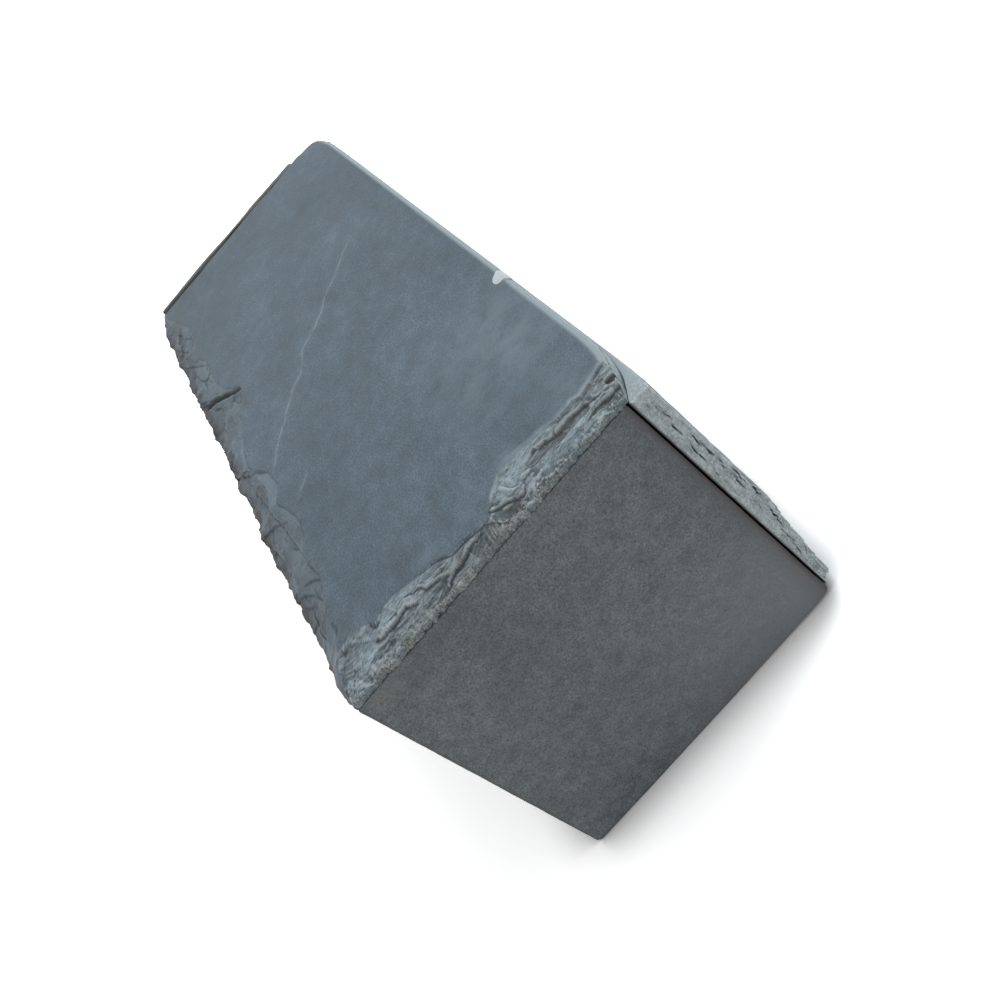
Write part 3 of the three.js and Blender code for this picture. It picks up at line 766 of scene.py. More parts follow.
# More ledges of the front edge.
front_ledges = [
    [(-22.3, 8.3, 0), (-18.5, 7, 0.6), (-17.9, 5.5, 0.8), (-13.9, 4.6, 0.8), (-10.6, 3.3, 0.5),
     (-9, 2.4, 0)],
    [(-45, 14.5, 0), (-42.7, 12.5, 0.8), (-39, 9.7, 1.2), (-35.4, 7, 1.3), (-31.2, 6.3, 1.4),
     (-28.1, 6.8, 1.3), (-25.1, 7.2, 1.1), (-23.9, 6.2, 0.8), (-21.5, 5.2, 0)],
    [(-13.6, 0.6, 0.6), (-12.7, 2.2, 1.2), (-10.2, 3.2, 1.6), (-7.5, 3.4, 1.8), (-2.4, 3.3, 1.6),
     (0.9, 3.2, 1), (3, 2.6, 0)],
    [(6.5, 4.8, 0), (8.8, 4.4, 0.8), (11.9, 4.8, 1.4), (14.7, 3.5, 1.6), (16.5, 3.8, 1.6), (18.3, 4.9, 0.8),
     (18, 6.5, 0)],
    [(-49.2, 18.8, 0.6), (-47.3, 17.8, 1), (-42.4, 15.1, 1.1), (-40.5, 13, 0.7), (-38.6, 11.5, 0)],
    [(44, 3.4, 0), (46, 3.6, 0.8), (50, 3.4, 1), (53.4, 4.4, 1), (54.5, 6.4, 0.8), (55.6, 9.5, 0)],
]
# Hollows as furrows: x, distance from the edge, depth; then how wide.
front_furrows = [
    ([(19, 7.3, 0), (24, 7.2, 0.7), (30, 6.5, 1.1), (38, 6, 1.5), (42.5, 5.4, 1.3), (44.5, 5, 0)], 1.2),
    ([(49.5, 5.8, 0), (51.3, 6.2, 1), (52.8, 5.8, 1.1), (54.2, 5, 0)], 0.8),
    ([(-36.3, 0.8, 0), (-34.5, 2.2, 1.1), (-31.9, 2.5, 1.3), (-30.3, 1, 1)], 1.2),
    ([(8, 2.8, 0), (11, 2.6, 0.9), (14.5, 1.8, 0.9), (17.5, 2.2, 0)], 1.3),
    ([(-51.5, 14, 1.2), (-49.4, 12.8, 1.1), (-48, 12.2, 0)], 1.1),
]
# Where a broad flake left a smooth face: x, distance from the edge, and its reach each way.
smooth_faces = [
    (14.5, 8.5, 6.5, 3.6), (22, 10.2, 5, 2.4), (-24.5, 7, 4, 1.3), (-31, 9.6, 6.5, 2), (-46.5, 14.5, 5, 2),
    (-5, 5.6, 5, 1.4), (-15, 7.2, 4, 1.8), (30, 3.6, 7, 1.4), (-22, 9.8, 4, 1.5), (48, 6, 3, 1.5),
]
BEND = 0.42
# How far across a ledge comes down, and how broad the painted shadow at its foot and the painted highlight
# along its lip are.
FRONT_RISER, THIN_RISER, LEFT_RISER = (0.45, 0.22), (0.28, 0.17), (0.9, 0.4)
LEFT_LEDGES = 0.75       # the left edge's ledges against those in front
shift_x = x + BEND * patchy(5, 5, 71)
shift_v = v + BEND * patchy(5, 5, 76)
loose_x, loose_v = 1.4 * patchy(4, 4, 98), 0.7 * patchy(3, 4, 99)


def ledge_depth(ledges, riser, line):
    """What a group of ledges does at each point.

    Gives how far they have come down there, how far they go in all, the painted
    shadow line at the foot of each and the painted highlight along its upper edge.
    """
    down, whole = np.zeros(x.shape), np.zeros(x.shape)
    foot_shadow, lip_highlight = np.zeros(x.shape), np.zeros(x.shape)
    for ledge in ledges:
        distance, drop = nearest(shift_x, shift_v, smooth_line(ledge, 1.5))
        down += drop * eased_step(distance / riser + 0.5)
        whole += drop
        strength = held(drop / 0.3)
        foot_shadow = np.maximum(foot_shadow, strength * held(1.2 - np.abs(distance - line) / line))
        lip_highlight = np.maximum(lip_highlight, strength * held(1.2 - np.abs(distance + line) / line))
    return down, whole, foot_shadow, lip_highlight


def furrow_depth(furrows):
    """How deep the drawn hollows are at each point. They narrow where they are shallow."""
    depth = np.zeros(x.shape)
    for furrow, width in furrows:
        distance, deep = nearest(shift_x, shift_v, smooth_line(furrow, 1.5))
        reach = width * np.sqrt(np.clip(deep / max(p[2] for p in furrow), 0.02, 1))
        depth = np.maximum(depth, deep * held(1 - (distance / reach) ** 2) ** 0.8)
    return depth


def flakes(size_x, size_v, seed, slant=0.0):
    """Flat flakes, each with its own tilt: their height, how near a rim is, and each one's tone."""
    place_x, place_v = (shift_x + loose_x) / size_x, (shift_v + slant * shift_x + loose_v) / size_v
    cell_x, cell_v = np.floor(place_x), np.floor(place_v)
    first = np.full(x.shape, 9.0)
    second = np.full(x.shape, 9.0)
    height = np.zeros(x.shape)
    tone = np.zeros(x.shape)
    for step_x, step_v in np.ndindex(3, 3):
        near_x, near_v = cell_x + step_x - 1, cell_v + step_v - 1
        cell = flat_at(near_x, near_v).astype(np.int64)
        off_x = place_x - near_x - 0.5 - 0.45 * cell_value(cell, seed)
        off_v = place_v - near_v - 0.5 - 0.45 * cell_value(cell, seed + 1)
        distance = np.hypot(off_x, off_v)
        plane = 0.6 * cell_value(cell, seed + 2) + 0.5 * off_x * cell_value(cell, seed + 3)
        plane += off_v * cell_value(cell, seed + 4)
        closer = distance < first
        second = np.where(closer, first, np.minimum(second, distance))
        first = np.where(closer, distance, first)
        height = np.where(closer, plane, height)
        tone = np.where(closer, cell_value(cell, seed + 5), tone)
    return height, second - first, tone


def within(places):
    """How far inside a list of round areas each point lies, from 0 to 1."""
    most = np.zeros(x.shape)
    for middle_x, middle_v, reach_x, reach_v in places:
        away = np.hypot((shift_x - middle_x) / reach_x, (shift_v - middle_v) / reach_v)
        most = np.maximum(most, eased_step((1 - away) * 3))
    return most


front_share = held(1 - v / front_reach(x))
down, whole, front_foot_shadow, front_lip_highlight = ledge_depth([front_rim_line] + front_ledges, *FRONT_RISER)
# Thin layers laid open between the ledges: each a small step that runs along the edge.
chance = np.random.default_rng(11)
thin_ledges = []
for count, start_x, end_x, start_share, end_share, rise in (
        (34, -40, -8, 0.4, 0.97, 0.05), (34, 17, 47, 0.4, 0.98, 0.04), (16, -54, -44, 0.3, 0.85, -0.4),
        (14, -34, 16, 0.1, 0.5, 0.1)):
    for _ in range(count):
        at_x = chance.uniform(start_x, end_x)
        length = chance.uniform(3, 12)
        at_v = chance.uniform(start_share, end_share) * front_reach(at_x)
        slant = rise + chance.uniform(-0.06, 0.06)
        drop = chance.uniform(0.12, 0.4)
        thin_ledges.append([
            (at_x + length * share, at_v + slant * length * share + chance.uniform(-0.2, 0.2),
             drop * (0 < share < 1)) for share in (0, 0.35, 0.7, 1)])
thin_down, _, thin_foot_shadow, thin_lip_highlight = ledge_depth(thin_ledges, *THIN_RISER)
thin_down -= 0.4 * np.minimum(thin_down, 3)
edge_depth = LID_THICK - EDGE_STONE
smooth_here = within(smooth_faces)
front_depth = down + np.clip(edge_depth - whole, 1.2, None) * front_share ** 1.25
front_furrow = furrow_depth(front_furrows)
scarred = held(front_share * 4) * (1 - smooth_here)
scarred_front = scarred
broad, broad_rim, broad_tone = flakes(11, 2.2, 101, 0.09)
narrow, narrow_rim, narrow_tone = flakes(4.5, 0.95, 111, 0.09)
front_depth += front_furrow + scarred * (0.6 * broad + 0.07 * narrow + 0.7 * (thin_down - 0.4))
edge_here = EDGE_STONE + 0.6 * (1 + patchy(4, 4, 109)) + 0.42 * v
over_deep = front_depth - (LID_THICK - edge_here)
front_depth -= np.clip(over_deep, 0, None) * 0.93
front_depth *= eased_step((front_share - 0.001) * 60)

# More ledges of the left edge.
left_ledges = [
    [(-51, 194.3, 0.8), (-45, 187, 0.9), (-39, 181.5, 0.8), (-34.5, 177, 0.5), (-32.6, 174.8, 0)],
    [(-53, 262, 0), (-52.5, 257, 0.5), (-49, 247, 0.5), (-47, 243, 0)],
    [(-52.6, 238, 0.3), (-47, 226, 0.5), (-42.1, 216, 0.2)],
    [(-50.5, 129, 0.9), (-47, 124, 0.8), (-43, 118, 0.4), (-41, 114, 0)],
    [(-50.1, 90, 0.9), (-47.7, 88.5, 0.9), (-43.4, 83, 0.5), (-41, 80, 0)],
    [(-51.2, 51, 0.7), (-48.5, 48.5, 0.8), (-46.8, 45.4, 0.6), (-44, 38, 0.3)],
    [(-53.1, 50, 0.5), (-50.5, 45, 0.6), (-48, 41.5, 0.4), (-46.5, 38, 0)],
    [(-49, 53, 0), (-46, 51, 0.8), (-42, 46, 0.8), (-42.5, 43, 0)],
    [(-55.5, 143, 0.8), (-51, 134, 0.9), (-50, 127, 0.6)],
    [(-53, 84, 0.9), (-52.3, 79.5, 1), (-51.2, 73, 0.8), (-50.5, 69, 0)],
]
left_furrows = [
    ([(-52, 193, 1.6), (-49, 190.3, 2.6), (-45, 186.4, 2.2), (-39.5, 180.8, 1.1), (-33, 175, 0)], 1.5),
]
left_in = across_at(left_rim_line, v)
left_out = across_at(left_edge, v)
left_share = held((left_in - x) / (left_in - left_out))
down, whole, left_foot_shadow, _ = ledge_depth([left_rim_line] + left_ledges, *LEFT_RISER)
down, whole = LEFT_LEDGES * down, LEFT_LEDGES * whole
plain_end = eased_step((v - 282) / 8)
left_curve = 1.6 - 0.6 * plain_end
left_depth = down + np.clip(edge_depth - whole, 1.2, None) * left_share ** left_curve
left_furrow = furrow_depth(left_furrows)
long_broad, long_rim, long_tone = flakes(5, 14, 121)
long_narrow, _, short_tone = flakes(2.2, 5, 131)
scarred = held(left_share * 3) * (1 - plain_end)
left_depth += left_furrow + scarred * (0.6 * long_broad + 0.2 * long_narrow)
left_depth *= eased_step((left_share - 0.001) * 60)

right_line = [(a, b, 0) for a, b in smooth_line(near_corner + right_edge[1:] + far_corner, 6)]
from_right, _ = nearest(x, v, np.array(right_line))
from_right = np.abs(from_right)
right_depth = ARRIS - np.sqrt(np.clip(ARRIS ** 2 - np.clip(ARRIS - from_right, 0, ARRIS) ** 2, 0, None))
right_depth *= held((v - 3) / 9)
back_line = np.array([(a, b, 0) for a, b in smooth_line(back_edge, 6)])
from_back = np.abs(nearest(x, v, back_line)[0])
back_depth = held(0.7 - from_back) * (0.7 + 0.5 * patchy(4, 3, 81))

depth = np.maximum(front_depth, left_depth)
of_left = held((left_depth - front_depth) / 0.4 + 0.5)
on_front = 1 - of_left
struck_here = held(depth / 0.25)
crumbling = held((np.maximum(front_share, 0.85 * left_share) - 0.62) / 0.25) * struck_here
depth += struck_here * (0.04 * patchy(1.4, 3, 85)) * (1 - 0.6 * smooth_here)
crumbling *= 1 - 0.6 * of_left
depth += crumbling * (0.9 * patchy(2.4, 3, 87) + 0.35 * patchy(0.8, 2, 88))
depth = np.clip(depth, 0, LID_THICK - 0.25)
depth = np.maximum(depth, np.maximum(right_depth, back_depth))
depth += 0.05 * (1 + patchy(26, 3, 89))


def blurred(field, reach):
    """A field averaged over its neighbours along the rows and columns of the lid's grid."""
    total = np.zeros(field.shape)
    for shift in range(-reach, reach + 1):
        total += np.roll(field, shift, 1)
    total /= 2 * reach + 1
    padded = np.pad(total, ((reach, reach), (0, 0)), mode="edge")
    return sum(padded[i:i + field.shape[0]] for i in range(2 * reach + 1)) / (2 * reach + 1)


sunk = depth - blurred(depth, 2)
wide_sunk = depth - blurred(depth, 6)
# Painted shade where the surface lies below its neighbours, at the feet of ledges and in cracks between
# flakes.
hollow_shade = held(np.maximum(sunk / 0.14 - 0.35, 0.2 * wide_sunk)) * struck_here * (1 - 0.5 * of_left)
mixed = held(0.75 + 1.2 * patchy(2.5, 3, 100))
# Painted shadow lines at the feet of the ledges.
foot_shadow = np.maximum(1.1 * front_foot_shadow, thin_foot_shadow * scarred_front) * mixed
foot_shadow *= on_front * (1 - 0.5 * smooth_here)
left_shadow_line = 0.9 * left_foot_shadow * of_left * held(left_share * 20) * held(0.8 + 1.2 * patchy(3, 3, 108))
hollow_shade = np.maximum(hollow_shade, np.maximum(foot_shadow, left_shadow_line))
# Painted highlight along the lips of the ledges.
lip_highlight = np.maximum(front_lip_highlight, thin_lip_highlight * scarred_front) * held(0.35 + 1.8 * patchy(2, 3, 102))
lip_highlight *= on_front * (1 - 0.8 * smooth_here)
# Painted highlight on edges that stand above their neighbours and along the lips of ledges.
ridge_highlight = np.maximum(held(-sunk / 0.1 - 0.25), lip_highlight) * struck_here * (1 - 0.9 * of_left)
crush_reach = np.interp(x, [-52, -45, -30, -12, 5, 22, 30, 50], [1.2, 2.2, 3, 1.8, 2.2, 1.4, 0.7, 1.2])
crush = held((crush_reach * (1 + 1.1 * patchy(5, 4, 91)) - v) / 1.2 + 0.5) * on_front * struck_here
crush *= held(0.75 + 1.1 * patchy(4, 4, 104))
crush = np.maximum(crush, 0.6 * ridge_highlight * held(patchy(6, 2, 92) + 0.6) * on_front)
front_tone = (0.6 * broad_tone + 0.5 * narrow_tone) * (1 - 0.5 * smooth_here)
tone = struck_here * (front_tone * on_front + (0.4 * long_tone + 0.25 * short_tone) * of_left)
# Painted shade in the cracks between the flakes.
crack_shade = held(1 - broad_rim / 0.05) * held(0.3 + 1.6 * patchy(4, 3, 94))
crack_shade = np.maximum(crack_shade, 0.5 * held(1 - narrow_rim / 0.08)) * scarred_front * on_front
crack_shade *= (1 - smooth_here) ** 2
left_crack_shade = held(1 - long_rim / 0.03) * np.clip(2 * patchy(9, 2, 96), 0, 0.8) * of_left
hollow_shade = np.maximum(hollow_shade, np.maximum(crack_shade, left_crack_shade * held(left_share * 4)))
# Brown in the furrows, and painted shade along the lower rim of the left edge.
brown_and_shade = held(front_furrow / 1.1) * (0.6 + 0.4 * patchy(3, 2, 93))
left_rim_shade = held(left_share * 6 - 4.3 + 1.5 * patchy(6, 4, 106)) * (side[None] == LEFT)
brown_and_shade = np.maximum(brown_and_shade, 0.9 * left_rim_shade * (1 - 0.5 * plain_end))
brown_and_shade = np.maximum(brown_and_shade, 0.9 * held(left_furrow / 0.8))
left_dark = held(left_share * 2) * of_left
from_rim = np.abs(nearest(shift_x, shift_v, np.array(front_rim_line))[0])
pale_rim = held(1.2 - from_rim / 1.5) * held((x - 12) / 25) * (side[None] < RIGHT)
pale_rim *= held(0.6 + 0.9 * patchy(3, 4, 97))
crush = np.maximum(crush, 0.6 * pale_rim)
dusty = held((x - 34) / 10) * struck_here * (1 - hollow_shade) * held(0.6 + 0.9 * patchy(4, 4, 105))
hollow_shade *= 1 - 0.7 * pale_rim

# Where the thin layers get their painted shade and highlight lines.
layered = np.interp(x, [-52, -42, -36, -8, -2, 14, 19], [0.25, 0.35, 1, 1, 0.5, 0.5, 1])
layered *= scarred_front * on_front * held(0.65 + 1.3 * patchy(5, 3, 107)) * (1 - crush)

WALL_ROWS = 6            # from the lid's underside up to its edge
edge_z = lid_high[2] - depth[0]
lid_under = lid_low[2] - BED
wall = []
for row in range(WALL_ROWS):
    share = row / WALL_ROWS
    z = lid_under + (edge_z - lid_under) * share
    bite = 0.22 * rough(np.concatenate([outer, z[:, None] * 2], -1), 1.6, 3, 95) * struck
    wall.append(np.concatenate([outer + inward * bite[:, None], z[:, None]], -1))
lid_top = np.concatenate([face, (lid_high[2] - depth)[..., None]], -1)
# Inside the worked band the rows close in on a spine down the middle of the lid.
SPINE_X, SPINE_ENDS = 8.0, (60, 240)
middle_rows = []
spine = np.stack([np.full(len(inner), SPINE_X), np.clip(inner[:, 1], *SPINE_ENDS)], -1)
for share in (0.2, 0.45, 0.75, 0.96):
    flat = inner + (spine - inner) * share
    z = lid_high[2] - 0.05 * (1 + rough(flat_at(*flat.T), 26, 3, 89))
    middle_rows.append(np.concatenate([flat, z[:, None]], -1))
grid = np.concatenate([np.array(wall), lid_top, np.array(middle_rows)])
grid[..., 1] += lid_low[1]
row_count, column_count = grid.shape[:2]
number = np.arange(row_count * column_count).reshape(row_count, column_count)
beside = np.roll(number, -1, 1)
quads = np.stack([number[:-1], beside[:-1], beside[1:], number[1:]], -1).reshape(-1, 4)
faces = [list(q) for q in quads] + [list(number[0][::-1]), list(number[-1])]


def over_lid(field, wall_value, middle_value=0.0):
    """A value for every point of the lid, from its values over the worked band."""
    below = np.broadcast_to(wall_value, (WALL_ROWS, column_count))
    above = np.full((len(middle_rows), column_count), middle_value)
    return np.concatenate([below, field, above]).ravel()


# Painted highlight on the rounded right arris and the lid's right side, with the pale stone along the front
# flakes' rim and at the right end of the band.
pale_and_highlight = np.maximum(held(right_depth / 0.3), np.maximum(pale_rim, 0.75 * dusty))
low_wall = (np.arange(WALL_ROWS) < 2)[:, None] * 1.0
values = {
    "broken": over_lid(struck_here * (1 - 0.75 * of_left), struck_here[0]),
    # painted shade in hollows, ledge feet and cracks, and on the struck walls
    "hollow_shade": over_lid(hollow_shade, 0.2 * struck),
    "ridge_highlight": over_lid(ridge_highlight, 0 * hollow_shade[0]),
    "crush": over_lid(crush, crush[0]),
    # brown in the furrows, painted shade along the left edge's lower rim
    "brown_and_shade": over_lid(brown_and_shade, brown_and_shade[0]),
    "shaded": over_lid(left_dark, left_dark[0]),
    "tone": over_lid(tone, 0.0),
    # painted highlight on the right arris and side, with pale stone in the front band
    "worn": over_lid(pale_and_highlight, np.isin(side, (NEAR_CORNER, RIGHT, FAR_CORNER)) * 1.0),
    # painted shade low on the lid's right side, in the joint over the right slab
    "lid_joint_shade": over_lid(0 * hollow_shade, np.isin(side, (NEAR_CORNER, RIGHT)) * low_wall),
    "fresh": over_lid(smooth_here * struck_here, 0 * hollow_shade[0]),
    "layered": over_lid(layered, 0 * hollow_shade[0]),
}
lid_slate = slate_finish("lid_slate", (0.08, 0.111, 0.1365), (0.113, 0.153, 0.186), 1.0, 0.27, 0.3, 0.05)


def shaded_and_lit_layers(material, value, dark, light):
    """Paints fine dark lines of painted shade and light lines of painted highlight along the thin layers,
    where the stone was broken.
    """
    tree = material.node_tree
    place = object_place(tree)
    layers = noise_at(tree, stretched(tree, place, (0.13, 0.7, 1.6)), 0.7, 3, 0.6)
    patch = spread(tree, noise_at(tree, place, 4, 3), 0.36, 0.52, 0.35, 1)
    for low, high, strength, colour in ((0.48, 0.42, 0.95, dark), (0.53, 0.59, 0.9, light)):
        drawn_here = spread(tree, layers, low, high, 0, strength)
        painted(tree, times(tree, drawn_here, patch, marked(tree, value)), colour)


def veined(material, points, colour, strength, width):
    """Draws a thin pale vein over a flat face, from points given as x and y in millimetres."""
    tree = material.node_tree
    place = object_place(tree)
    apart = node(tree, "ShaderNodeSeparateXYZ")
    tree.links.new(place, apart.inputs["Vector"])
    low, high = points[0][0], points[-1][0]
    course = node(tree, "ShaderNodeFloatCurve")
    curve = course.mapping.curves[0]
    for number, (place_x, place_y) in enumerate(points):
        at = ((place_x - low) / (high - low), (place_y + 80) / 160)
        if number in (0, len(points) - 1):
            curve.points[-1 if number else 0].location = at
        else:
            curve.points.new(*at)
    course.mapping.update()
    tree.links.new(spread(tree, apart.outputs["X"], low * MM, high * MM, 0, 1), course.inputs["Value"])
    wanted = spread(tree, course.outputs["Value"], 0, 1, -80 * MM, 80 * MM)
    sway = spread(tree, noise_at(tree, place, 5, 4, 0.6), 0.2, 0.8, -1.4 * MM, 1.4 * MM)
    off = sums(tree, "SUBTRACT", apart.outputs["Y"], sums(tree, "ADD", wanted, sway))
    line = spread(tree, sums(tree, "ABSOLUTE", off, 0), width * MM, 0.35 * width * MM, 0, 1)
    halo = spread(tree, sums(tree, "ABSOLUTE", off, 0), 5 * width * MM, 0, 0, 0.3)
    share = sums(tree, "MAXIMUM", line, halo)
    for start, end in ((low - 1, low + 3), (high + 1, high - 8)):
        share = times(tree, share, spread(tree, apart.outputs["X"], start * MM, end * MM, 0, 1))
    faint = spread(tree, noise_at(tree, place, 4, 3), 0.35, 0.6, 0.35, 1)
    painted(tree, times(tree, share, faint, strength), colour)


veined(lid_slate, [
    (-39.2, -41.5), (-32.8, -30.9), (-24.7, -20.1), (-17.8, -11.5), (-11.8, -7), (-7.2, 2.1),
    (4, 9.5), (13.3, 20), (17.6, 22.3), (25.3, 29.8), (33.7, 35.9),
], (0.26, 0.32, 0.35), 0.75, 0.75)
veined(lid_slate, [(-35.5, -65.5), (-31, -61.5), (-27.2, -57.2)], (0.26, 0.32, 0.35), 0.8, 0.8)


def bruises_and_sheen(material, marks, colour, strength):
    """Paints soft lighter or darker patches over the stone, for bruises, stains and a painted sheen: x, y,
    reach each way in millimetres, and how much.
    """
    tree = material.node_tree
    place = object_place(tree)
    cloud = noise_at(tree, place, 9, 5, 0.65)
    for at_x, at_y, reach_x, reach_y, amount in marks:
        away = stretched(tree, place, (at_x * MM, at_y * MM, lid_high[2] * MM), "SUBTRACT")
        away = stretched(tree, away, (reach_x * MM, reach_y * MM, 1), "DIVIDE")
        reached = node(tree, "ShaderNodeVectorMath", operation="LENGTH")
        tree.links.new(away, reached.inputs[0])
        near = spread(tree, reached.outputs["Value"], 1.0, 0.1, 0, 1)
        cloudy = spread(tree, cloud, 0.38, 0.62, 0.25, strength * amount)
        painted(tree, times(tree, near, cloudy), colour)


# A broad painted sheen over the right front of the lid, with smaller pale patches along the front edge.
bruises_and_sheen(lid_slate, [
    (40, -98, 34, 44, 1), (44, -142, 14, 16, 0.9), (2.5, -140, 5, 4, 0.6), (20, -138, 6, 7, 0.7),
    (-12, -139, 6, 4, 0.6),
], (0.17, 0.222, 0.258), 0.85)
bruises_and_sheen(lid_slate, [(-47, 127, 8, 14, 1)], (0.105, 0.122, 0.098), 0.8)
stained(lid_slate, "broken", (0.205, 0.256, 0.285), 0.85)
# Painted highlight on the right arris and side, with pale stone in the front band.
stained(lid_slate, "worn", (0.31, 0.38, 0.41), 0.9)
stained(lid_slate, "fresh", (0.25, 0.31, 0.345), 0.6)


def toned(material, value, contrast):
    """Makes each flake a little lighter or darker than the next, by a named value."""
    tree = material.node_tree
    lift = sums(tree, "ADD", times(tree, marked(tree, value), contrast), 1)
    painted(tree, 1.0, grey_of(tree, lift), "MULTIPLY")


def grainy(material, value, size, contrast, relief):
    """Roughens and speckles the stone where a named value says that it was broken."""
    tree = material.node_tree
    mark = marked(tree, value)
    grain = noise_at(tree, stretched(tree, object_place(tree), (0.35, 1.3, 1)), size, 4, 0.7)
    lift = times(tree, spread(tree, grain, 0.3, 0.7, -contrast, contrast), mark)
    painted(tree, 1.0, grey_of(tree, sums(tree, "ADD", lift, 1)), "MULTIPLY")
    raised(tree, times(tree, grain, mark), relief)


grainy(lid_slate, "broken", 0.5, 0.62, 0.1)
stained(lid_slate, "shaded", (0.1, 0.129, 0.154), 0.85)
toned(lid_slate, "tone", 0.66)
# Painted shade and highlight lines along the parted layers.
shaded_and_lit_layers(lid_slate, "layered", (0.075, 0.088, 0.095), (0.36, 0.43, 0.46))
# Painted highlight on raised edges and the lips of ledges.
stained(lid_slate, "ridge_highlight", (0.46, 0.52, 0.54), 0.9)
# Painted shade in the hollows, ledge feet and cracks.
stained(lid_slate, "hollow_shade", (0.03, 0.032, 0.035), 0.85)
crushed(lid_slate, "crush", 0.6, (0.14, 0.154, 0.157), (0.4, 0.43, 0.425), 0.2)
# Brown in the furrows, and painted shade along the left edge's lower rim.
stained(lid_slate, "brown_and_shade", (0.05, 0.043, 0.039), 0.85)
# Painted shade low on the lid's right side, in the joint over the right slab.
stained(lid_slate, "lid_joint_shade", (0.03, 0.035, 0.038), 0.9)
lid = stone_piece("lid", grid.reshape(-1, 3), faces, lid_slate, values, crease=65)
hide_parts("top_slab")
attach(lid, "root")

# ------------------------------------------------------------- crumbs
# Crumbs of slate left on the lid's lower front arris by the slater's knife.
# They are angular, paler than the stone that they came from, and held by dust
# and by the glue that was pressed out of the joint.

CRUMB_SMALLEST, CRUMB_LARGEST = 0.09, 0.32
CRUMBS_PER_AREA = 4.0e6


def crumb_tree():
    """Strews small angular stones over a mesh where its named value is high."""
    tree, given, result = node_group("crumbs", "GeometryNodeTree", [
        ("Geometry", "Geometry", None), ("Density", "Float", 1.0e6), ("Smallest", "Float", 0.0001),
        ("Largest", "Float", 0.0003), ("Seed", "Int", 7), ("Material", "Material", None),
    ], [("Geometry", "Geometry")])
    where = node(tree, "GeometryNodeInputNamedAttribute", data_type="FLOAT")
    where.inputs["Name"].default_value = "crush"
    chosen = spread(tree, where.outputs["Attribute"], 0.35, 1, 0, 1)
    strew = node(tree, "GeometryNodeDistributePointsOnFaces", distribute_method="RANDOM")
    tree.links.new(times(tree, chosen, given.outputs["Density"]), strew.inputs["Density"])
    stone = node(tree, "GeometryNodeMeshIcoSphere")
    stone.inputs["Radius"].default_value = 1
    stone.inputs["Subdivisions"].default_value = 1
    turn = node(tree, "FunctionNodeRandomValue", data_type="FLOAT_VECTOR", name="turn")
    turn.inputs["Max"].default_value = (6.28, 6.28, 6.28)
    size = node(tree, "FunctionNodeRandomValue", data_type="FLOAT_VECTOR", name="size")
    shade = node(tree, "FunctionNodeRandomValue", data_type="FLOAT", name="shade")
    place = node(tree, "GeometryNodeInstanceOnPoints")
    keep = node(tree, "GeometryNodeStoreNamedAttribute", data_type="FLOAT", domain="INSTANCE")
    keep.inputs["Name"].default_value = "paleness"
    solid = node(tree, "GeometryNodeRealizeInstances")
    finish = node(tree, "GeometryNodeSetMaterial")
    for start, out, end, into in (
            (given, "Geometry", strew, "Mesh"), (given, "Seed", strew, "Seed"),
            (given, "Seed", turn, "Seed"), (given, "Seed", size, "Seed"), (given, "Seed", shade, "Seed"),
            (given, "Smallest", size, "Min"), (given, "Largest", size, "Max"),
            (strew, "Points", place, "Points"), (stone, "Mesh", place, "Instance"),
            (turn, "Value", place, "Rotation"), (size, "Value", place, "Scale"),
            (place, "Instances", keep, "Geometry"), (shade, 1, keep, "Value"),
            (keep, "Geometry", solid, "Geometry"), (solid, "Geometry", finish, "Geometry"),
            (given, "Material", finish, "Material"), (finish, "Geometry", result, "Geometry")):
        tree.links.new(start.outputs[out], end.inputs[into])
    return tree


crumb_slate = slate_finish("crumb_slate", (0.12, 0.125, 0.118), (0.14, 0.145, 0.138), 0.6, 0.2, 0.2, 0.05)
stained(crumb_slate, "paleness", (0.46, 0.49, 0.47), 0.9)
bed = placed("crumb_bed", lid.data.copy())
tree = crumb_tree()
strewing = bed.modifiers.new("crumbs", "NODES")
strewing.node_group = tree
for name, value in (("Density", CRUMBS_PER_AREA), ("Smallest", CRUMB_SMALLEST * MM),
                    ("Largest", CRUMB_LARGEST * MM), ("Seed", 7), ("Material", crumb_slate)):
    wanted = next(s for s in tree.interface.items_tree if s.name == name and s.in_out == "INPUT")
    strewing[wanted.identifier] = value
crumb_mesh = bpy.data.meshes.new_from_object(bed.evaluated_get(bpy.context.evaluated_depsgraph_get()))
bpy.data.objects.remove(bed)
places = np.empty(len(crumb_mesh.vertices) * 3, np.float32)
crumb_mesh.vertices.foreach_get("co", places)
places = np.clip(places.reshape(-1, 3), lid_low * MM, lid_high * MM)
crumb_mesh.vertices.foreach_set("co", places.ravel())
crumbs = placed("crumbs", crumb_mesh)
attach(crumbs, "root")

# ------------------------------------------------------------- adhesive
# A drop of white adhesive that came out of the joint between lid and right slab.
# It was wiped along the lid's worn arris and set there.

